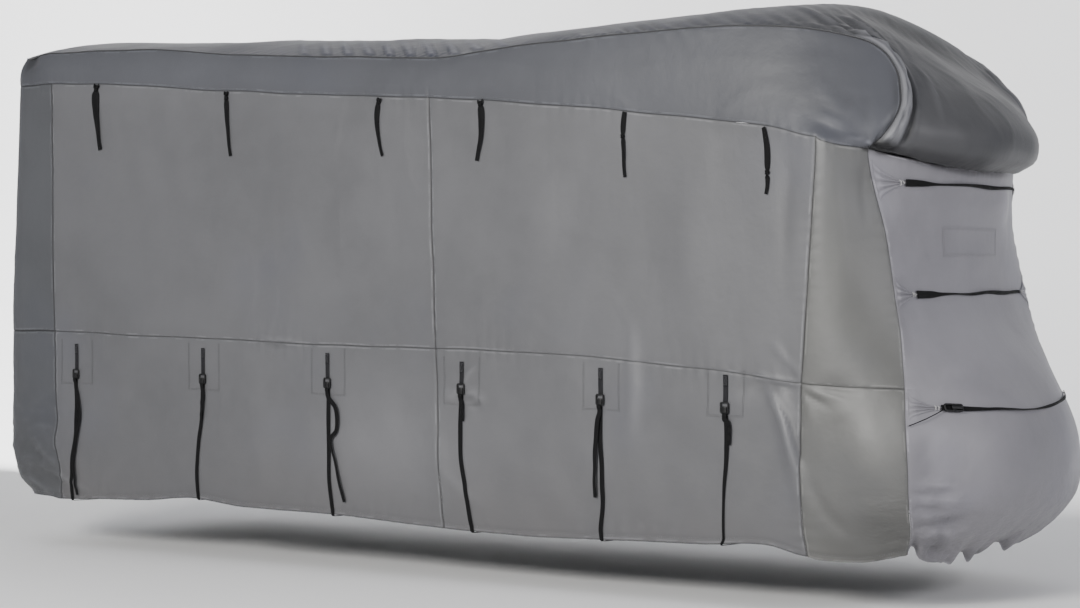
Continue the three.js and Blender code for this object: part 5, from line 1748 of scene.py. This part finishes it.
class COVER_OT_panels(bpy.types.Operator):
    """Makes the cloth panels with their folds, wrinkles and puckered seams"""

    bl_idname = "cover.panels"
    bl_label = "Cloth panels"

    def execute(self, context):
        cover = dressed()
        for name, panel in cover.panels.items():
            add_cloth(
                name, panel["points"], panel["out"], panel["uv"], CLOTH_LOOKS.get(name, "wall"),
                FAINT_SEAMS.get(name, (0, 0, 0, 0)), SEAM_GAP, panel["painted_light"],
            )
        return {"FINISHED"}


class COVER_OT_piping(bpy.types.Operator):
    """Makes the thin piping in the seam round the top"""

    bl_idname = "cover.piping"
    bl_label = "Piping"

    def execute(self, context):
        cover = dressed()
        near, far = cover.panels["band_R"], cover.panels["band_L"]
        path = np.concatenate([far["points"][:, -1], near["points"][1:, -1]])
        out = np.concatenate([far["out"][:, -1], near["out"][1:, -1]])
        add_parts("roof_piping", [ribbon_mesh(path + out * 0.4, out, 8.0, 5.0)], "cover_piping")
        return {"FINISHED"}


class COVER_OT_front(bpy.types.Operator):
    """Makes the gathered tabs, the bare patch, the front straps and the adjuster"""

    bl_idname = "cover.front"
    bl_label = "Front tabs, patch and straps"

    def execute(self, context):
        cover = dressed()
        for number, strap in enumerate(FRONT_STRAPS, 1):
            add_webbing(f"front_strap_{number}", front_strap_parts(cover, strap))
            for side, far in SIDES.items():
                points, out = tab_grid(cover, strap, far)
                pleats = np.sin(2 * np.pi * TAB_PLEATS * np.linspace(0, 1, points.shape[1]))
                # Painted highlights on the tabs' pleats and painted shade between them, darker overall.
                shaded = 0.16 * pleats - 0.10 + np.zeros(points.shape[:2])
                add_cloth(
                    f"front_tab_{number}_{side}", points, out, flat_map(points),
                    painted_light=shaded,
                )
        self.patch(cover)
        self.adjuster(cover)
        return {"FINISHED"}

    def patch(self, cover):
        across = np.linspace(PATCH["left"], PATCH["right"], 61)
        u, z = np.meshgrid(across, np.linspace(PATCH["low"], PATCH["high"], 15), indexing="ij")
        points, _ = cover.on_front(u, z, 2.6)
        add_cloth("front_patch", points, unit(grid_directions(points)), flat_map(points))

    def adjuster(self, cover):
        points, out = front_strap_path(cover, FRONT_STRAPS[-1], -np.array(ADJUSTER_SPAN), 16)
        ahead = unit(points[2] - points[0])
        across = unit(np.cross(ahead, out[1]))
        add_fitting("front_adjuster", fitting_parts(points[1], across, ahead, out[1], **ADJUSTER))


class COVER_OT_ties(bpy.types.Operator):
    """Makes the ties that hang from the hood seam on both sides"""

    bl_idname = "cover.ties"
    bl_label = "Ties"

    def execute(self, context):
        cover = dressed()
        for number, tie in enumerate(TIES, 1):
            for side, far in SIDES.items():
                add_webbing(f"tie_{number}_{side}", tie_parts(cover, tie, far))
        return {"FINISHED"}


class COVER_OT_straps(bpy.types.Operator):
    """Makes the belly straps with their sewn heads and buckles"""

    bl_idname = "cover.straps"
    bl_label = "Belly straps"

    def execute(self, context):
        cover = dressed()
        for number, strap in enumerate(STRAPS, 1):
            add_webbing(f"belly_strap_{number}", belly_parts(cover, strap))
            add_webbing(f"strap_head_{number}", head_parts(cover, strap), "cover_head")
            seat, out = cover.beside_wall(strap["x"], strap["buckle"], 12)
            across = unit(np.cross((0, 0, 1), -out))
            ahead = unit(np.cross(out, across))
            add_fitting(f"buckle_{number}", fitting_parts(seat, across, ahead, out, **BUCKLE))
        return {"FINISHED"}


def stitch_tree(name):
    """The node tree that lays stitches along the lines of a mesh."""
    tree = bpy.data.node_groups.new(name, "GeometryNodeTree")
    for label, kind in (
        ("Geometry", "Geometry"), ("Pitch", "Float"), ("Length", "Float"), ("Width", "Float"),
        ("Seed", "Int"), ("Thread", "Material"),
    ):
        tree.interface.new_socket(label, in_out="INPUT", socket_type=f"NodeSocket{kind}")
    tree.interface.new_socket("Geometry", in_out="OUTPUT", socket_type="NodeSocketGeometry")
    nodes = {label: tree.nodes.new(kind) for label, kind in (
        ("given", "NodeGroupInput"), ("curve", "GeometryNodeMeshToCurve"),
        ("resample", "GeometryNodeResampleCurve"), ("lay", "GeometryNodeInstanceOnPoints"),
        ("bead", "GeometryNodeMeshUVSphere"), ("tangent", "GeometryNodeInputTangent"),
        ("turn", "FunctionNodeAlignRotationToVector"), ("size", "ShaderNodeCombineXYZ"),
        ("vary", "FunctionNodeRandomValue"), ("scale", "ShaderNodeMath"),
        ("realize", "GeometryNodeRealizeInstances"), ("paint", "GeometryNodeSetMaterial"),
        ("result", "NodeGroupOutput"),
    )}
    nodes["resample"].mode = "LENGTH"
    nodes["turn"].axis = "X"
    nodes["scale"].operation = "MULTIPLY"
    nodes["vary"].data_type = "FLOAT"
    for label, socket, value in (
        ("bead", "Segments", 4), ("bead", "Rings", 2), ("bead", "Radius", 0.5), ("vary", "Min", 0.85),
        ("vary", "Max", 1.1),
    ):
        nodes[label].inputs[socket].default_value = value
    for source, output, target, socket in (
        ("given", "Geometry", "curve", "Mesh"), ("curve", "Curve", "resample", "Curve"),
        ("given", "Pitch", "resample", "Length"), ("resample", "Curve", "lay", "Points"),
        ("bead", "Mesh", "lay", "Instance"), ("tangent", "Tangent", "turn", "Vector"),
        ("turn", "Rotation", "lay", "Rotation"), ("given", "Seed", "vary", "Seed"),
        ("vary", 1, "scale", 0), ("given", "Length", "scale", 1), ("scale", 0, "size", "X"),
        ("given", "Width", "size", "Y"), ("given", "Width", "size", "Z"), ("size", "Vector", "lay", "Scale"),
        ("lay", "Instances", "realize", "Geometry"), ("realize", "Geometry", "paint", "Geometry"),
        ("given", "Thread", "paint", "Material"), ("paint", "Geometry", "result", "Geometry"),
    ):
        tree.links.new(nodes[source].outputs[output], nodes[target].inputs[socket])
    return tree


def stitched(name, lines, sizes, thread="cover_thread"):
    """Stitches along lines of points in the tables' millimetres, as one plain mesh."""
    points, edges, base = [], [], 0
    for line, out in lines:
        points.append(line + out * 0.5)
        edges += [(base + i, base + i + 1) for i in range(len(line) - 1)]
        base += len(line)
    mesh = bpy.data.meshes.new(f"{name}_lines")
    mesh.from_pydata(to_row(np.concatenate(points)).tolist(), edges, [])
    lines_object = placed(f"{name}_lines", mesh)
    tree = bpy.data.node_groups.get("cover_stitches") or stitch_tree("cover_stitches")
    modifier = lines_object.modifiers.new("Stitches", "NODES")
    modifier.node_group = tree
    material = finish_named(thread)
    values = {"Pitch": sizes[0], "Length": sizes[1], "Width": sizes[2], "Seed": 7, "Thread": material}
    for item in tree.interface.items_tree:
        if item.in_out == "INPUT" and item.name in values:
            modifier[item.identifier] = values[item.name]
    bpy.context.view_layer.update()
    graph = bpy.context.evaluated_depsgraph_get()
    plain = bpy.data.meshes.new_from_object(lines_object.evaluated_get(graph))
    bpy.data.objects.remove(lines_object)
    bpy.data.meshes.remove(mesh)
    plain.name = name
    plain.polygons.foreach_set("use_smooth", np.ones(len(plain.polygons), bool))
    wear(placed(name, plain), material)


class COVER_OT_stitches(bpy.types.Operator):
    """Sews the rows of stitches along the seams, hems, squares and tabs"""

    bl_idname = "cover.stitches"
    bl_label = "Stitches"

    def execute(self, context):
        cover = dressed()
        sizes = context.scene.cover_stitches
        seam = (sizes.pitch, sizes.length, sizes.wide)
        panels = cover.panels
        hood, walls, front = [], [], []
        for side in SIDES:
            band = panels[f"band_{side}"]
            hood += [panel_line(band, "low", row) for row in HOOD_ROWS]
            hood.append(panel_line(band, "high", SEAM_ROW))
        hood += [panel_line(panels["top_panel"], edge, SEAM_ROW) for edge in ("low", "high", "start")]
        for name, panel in panels.items():
            if CLOTH_LOOKS.get(name, "wall") in SLOTS:
                continue
            upper = name.endswith("_upper") or "_upper_" in name
            seams = ("start", "end", "low" if upper else "high")
            walls += [panel_line(panel, edge, SEAM_ROW) for edge in seams]
            walls += [panel_line(panel, "low", row) for row in ([] if upper else HEM_ROWS)]
        front += [panel_line(panels["front_panel"], edge, SEAM_ROW) for edge in ("start", "end")]
        front += [panel_line(panels["front_panel"], "low", row) for row in FRONT_HEM_ROWS]
        stitched("hood_stitches", hood, seam)
        stitched("wall_stitches", walls, seam)
        stitched("front_stitches", front, seam)
        self.squares(cover)
        self.tabs(cover)
        return {"FINISHED"}

    def squares(self, cover):
        lines, crosses = [], []
        for strap in STRAPS:
            half, drop = strap["half"], strap["drop"]
            for inset in (0, 7):
                left, right = strap["x"] - half + inset, strap["x"] + half - inset
                high, low = strap["head"] + 24, strap["head"] - drop + inset
                corners = np.array([(left, high), (left, low), (right, low), (right, high)], float)
                path = along_corners(corners, 18)
                lines.append(cover.beside_wall(*path.T, 0.4))
            x, z, half = strap["x"], strap["head"] - 30, WEBBING / 2 - 4
            cross = [
                (-half, 22), (half, 22), (half, -22), (-half, -22), (-half, 22), (half, -22),
                (-half, -22), (half, 22),
            ]
            path = along_corners(np.array([(x + a, z + b) for a, b in cross], float), 6)
            crosses.append(cover.beside_wall(*path.T, 10.6))
        stitched("square_stitches", lines, (0.011, 0.0098, 0.0026), "cover_dark_thread")
        stitched("head_stitches", crosses, (0.006, 0.0045, 0.0013))

    def tabs(self, cover):
        lines = []
        for strap in FRONT_STRAPS:
            for far in (False, True):
                points, out = tab_grid(cover, strap, far)
                lines += tab_zigzag(points, out, far)
        stitched("tab_stitches", lines, (0.0045, 0.0045, 0.0026), "cover_bright_thread")
        border = []
        for inset in (8, 14):
            left, right = PATCH["left"] * ABOUT_HALF + inset, PATCH["right"] * ABOUT_HALF - inset
            low, high = PATCH["low"] + inset, PATCH["high"] - inset
            corners = np.array([(left, low), (right, low), (right, high), (left, high), (left, low)])
            path = along_corners(corners, 18)
            border.append(cover.on_front(path[:, 0] / ABOUT_HALF, path[:, 1], 3.1))
        stitched("patch_stitches", border, (0.009, 0.006, 0.0015))


def along_corners(corners, step):
    """Points a step apart along straight runs between corners."""
    runs = []
    for a, b in zip(corners[:-1], corners[1:]):
        count = max(int(np.linalg.norm(b - a) / step), 1)
        runs.append(lerp(a, b, np.arange(count)[:, None] / count))
    return np.concatenate([*runs, corners[-1:]])


def soft_light(name, place, aim, size, power, colour=(1, 1, 1)):
    light = bpy.data.lights.new(name, "AREA")
    light.shape = "RECTANGLE"
    light.size, light.size_y = size
    light.energy = power
    light.color = colour
    lamp = placed(name, light)
    lamp.location = place
    lamp.rotation_euler = (Vector(aim) - Vector(place)).to_track_quat("-Z", "Y").to_euler()


class COVER_OT_stage(bpy.types.Operator):
    """Sets the camera, the floor with its backdrop and the lights"""

    bl_idname = "cover.stage"
    bl_label = "Stage"

    def execute(self, context):
        self.camera(context)
        self.floor(context)
        self.lights(context)
        return {"FINISHED"}

    def camera(self, context):
        camera = bpy.data.cameras.new("photo_camera")
        camera.sensor_width = SENSOR
        camera.sensor_fit = "HORIZONTAL"
        camera.lens = SENSOR * FOCAL_PIXELS / PHOTO_WIDTH
        camera.clip_end = 200
        azimuth, pitch = math.radians(CAMERA_AZIMUTH), math.radians(CAMERA_PITCH)
        ahead = Vector((
            -math.sin(azimuth) * math.cos(pitch), math.cos(azimuth) * math.cos(pitch), -math.sin(pitch),
        ))
        piece = placed("photo_camera", camera)
        piece.location = Vector(CAMERA_PLACE) - Vector(SUPPORT * MM)
        piece.rotation_euler = ahead.to_track_quat("-Z", "Y").to_euler()
        context.scene.camera = piece

    def floor(self, context):
        ground = -SUPPORT[2] * MM
        along = np.linspace(-FLOOR_HALF, FLOOR_HALF, 12)
        bend = np.linspace(0, math.pi / 2, 13)
        depth = np.concatenate([FLOOR_ROWS, BEND_FROM + BEND * np.sin(bend), [BEND_FROM + BEND]])
        height = np.concatenate([[0, 0, 0], BEND * (1 - np.cos(bend)), [BACKDROP_TALL]])
        rows = stack(along[:, None], depth[None, :], ground + height[None, :])
        turn = math.radians(CAMERA_AZIMUTH)
        x, y = rows[..., 0].copy(), rows[..., 1].copy()
        rows[..., 0] = x * math.cos(turn) - y * math.sin(turn)
        rows[..., 1] = x * math.sin(turn) + y * math.cos(turn)
        faces = quad_faces(*rows.shape[:2]).tolist()
        piece = mesh_piece("studio_floor", rows.reshape(-1, 3), faces)
        piece.data.materials.append(finish_named("cover_floor"))

    def lights(self, context):
        stage = context.scene.cover_stage
        world = bpy.data.worlds.new("studio")
        world.use_nodes = True
        backdrop = world.node_tree.nodes["Background"]
        backdrop.inputs["Color"].default_value = (0.91, 0.93, 1.0, 1)
        backdrop.inputs["Strength"].default_value = 0.40
        context.scene.world = world
        soft_light("key", (1.9, -13.5, 2.6), (1.6, 0, -1.7), (4, 3), stage.key, (1, 0.985, 0.955))
        soft_light("front", (12.6, -1.8, 2.2), (2, 0, -1.6), (3.5, 2.5), stage.fill, (0.97, 0.96, 1))
        soft_light("backdrop", (-9, 3, 0.5), (-8, 14, 0), (6, 6), stage.key * 0.5)
        soft_light("backdrop_far", (6, 7, 1), (1, 16, 0), (6, 6), stage.key * 0.5)


class COVER_PT_panel(bpy.types.Panel):
    """The cover's sizes and the steps that make it."""

    bl_idname = "COVER_PT_panel"
    bl_label = "Motorhome cover"
    bl_space_type = "VIEW_3D"
    bl_region_type = "UI"
    bl_category = "Cover"

    def draw(self, context):
        for group in (context.scene.cover, context.scene.cover_stitches, context.scene.cover_stage):
            box = self.layout.box()
            for name in group.__annotations__:
                box.prop(group, name)
        for step in STEPS:
            self.layout.operator(step.bl_idname)


STEPS = (
    COVER_OT_panels,
    COVER_OT_piping,
    COVER_OT_front,
    COVER_OT_ties,
    COVER_OT_straps,
    COVER_OT_stitches,
    COVER_OT_stage,
)
GROUPS = {"cover": Settings, "cover_stitches": StitchSettings, "cover_stage": StageSettings}


def register():
    for group in (*GROUPS.values(), *STEPS, COVER_PT_panel):
        bpy.utils.register_class(group)
    for name, group in GROUPS.items():
        setattr(bpy.types.Scene, name, bpy.props.PointerProperty(type=group))


def unregister():
    for name in GROUPS:
        delattr(bpy.types.Scene, name)
    for group in (COVER_PT_panel, *reversed(STEPS), *reversed(GROUPS.values())):
        bpy.utils.unregister_class(group)


def main():
    register()
    bpy.ops.cover.panels()
    bpy.ops.cover.piping()
    bpy.ops.cover.front()
    bpy.ops.cover.ties()
    bpy.ops.cover.straps()
    bpy.ops.cover.stitches()
    bpy.ops.cover.stage()


if __name__ == "__main__":
    main()
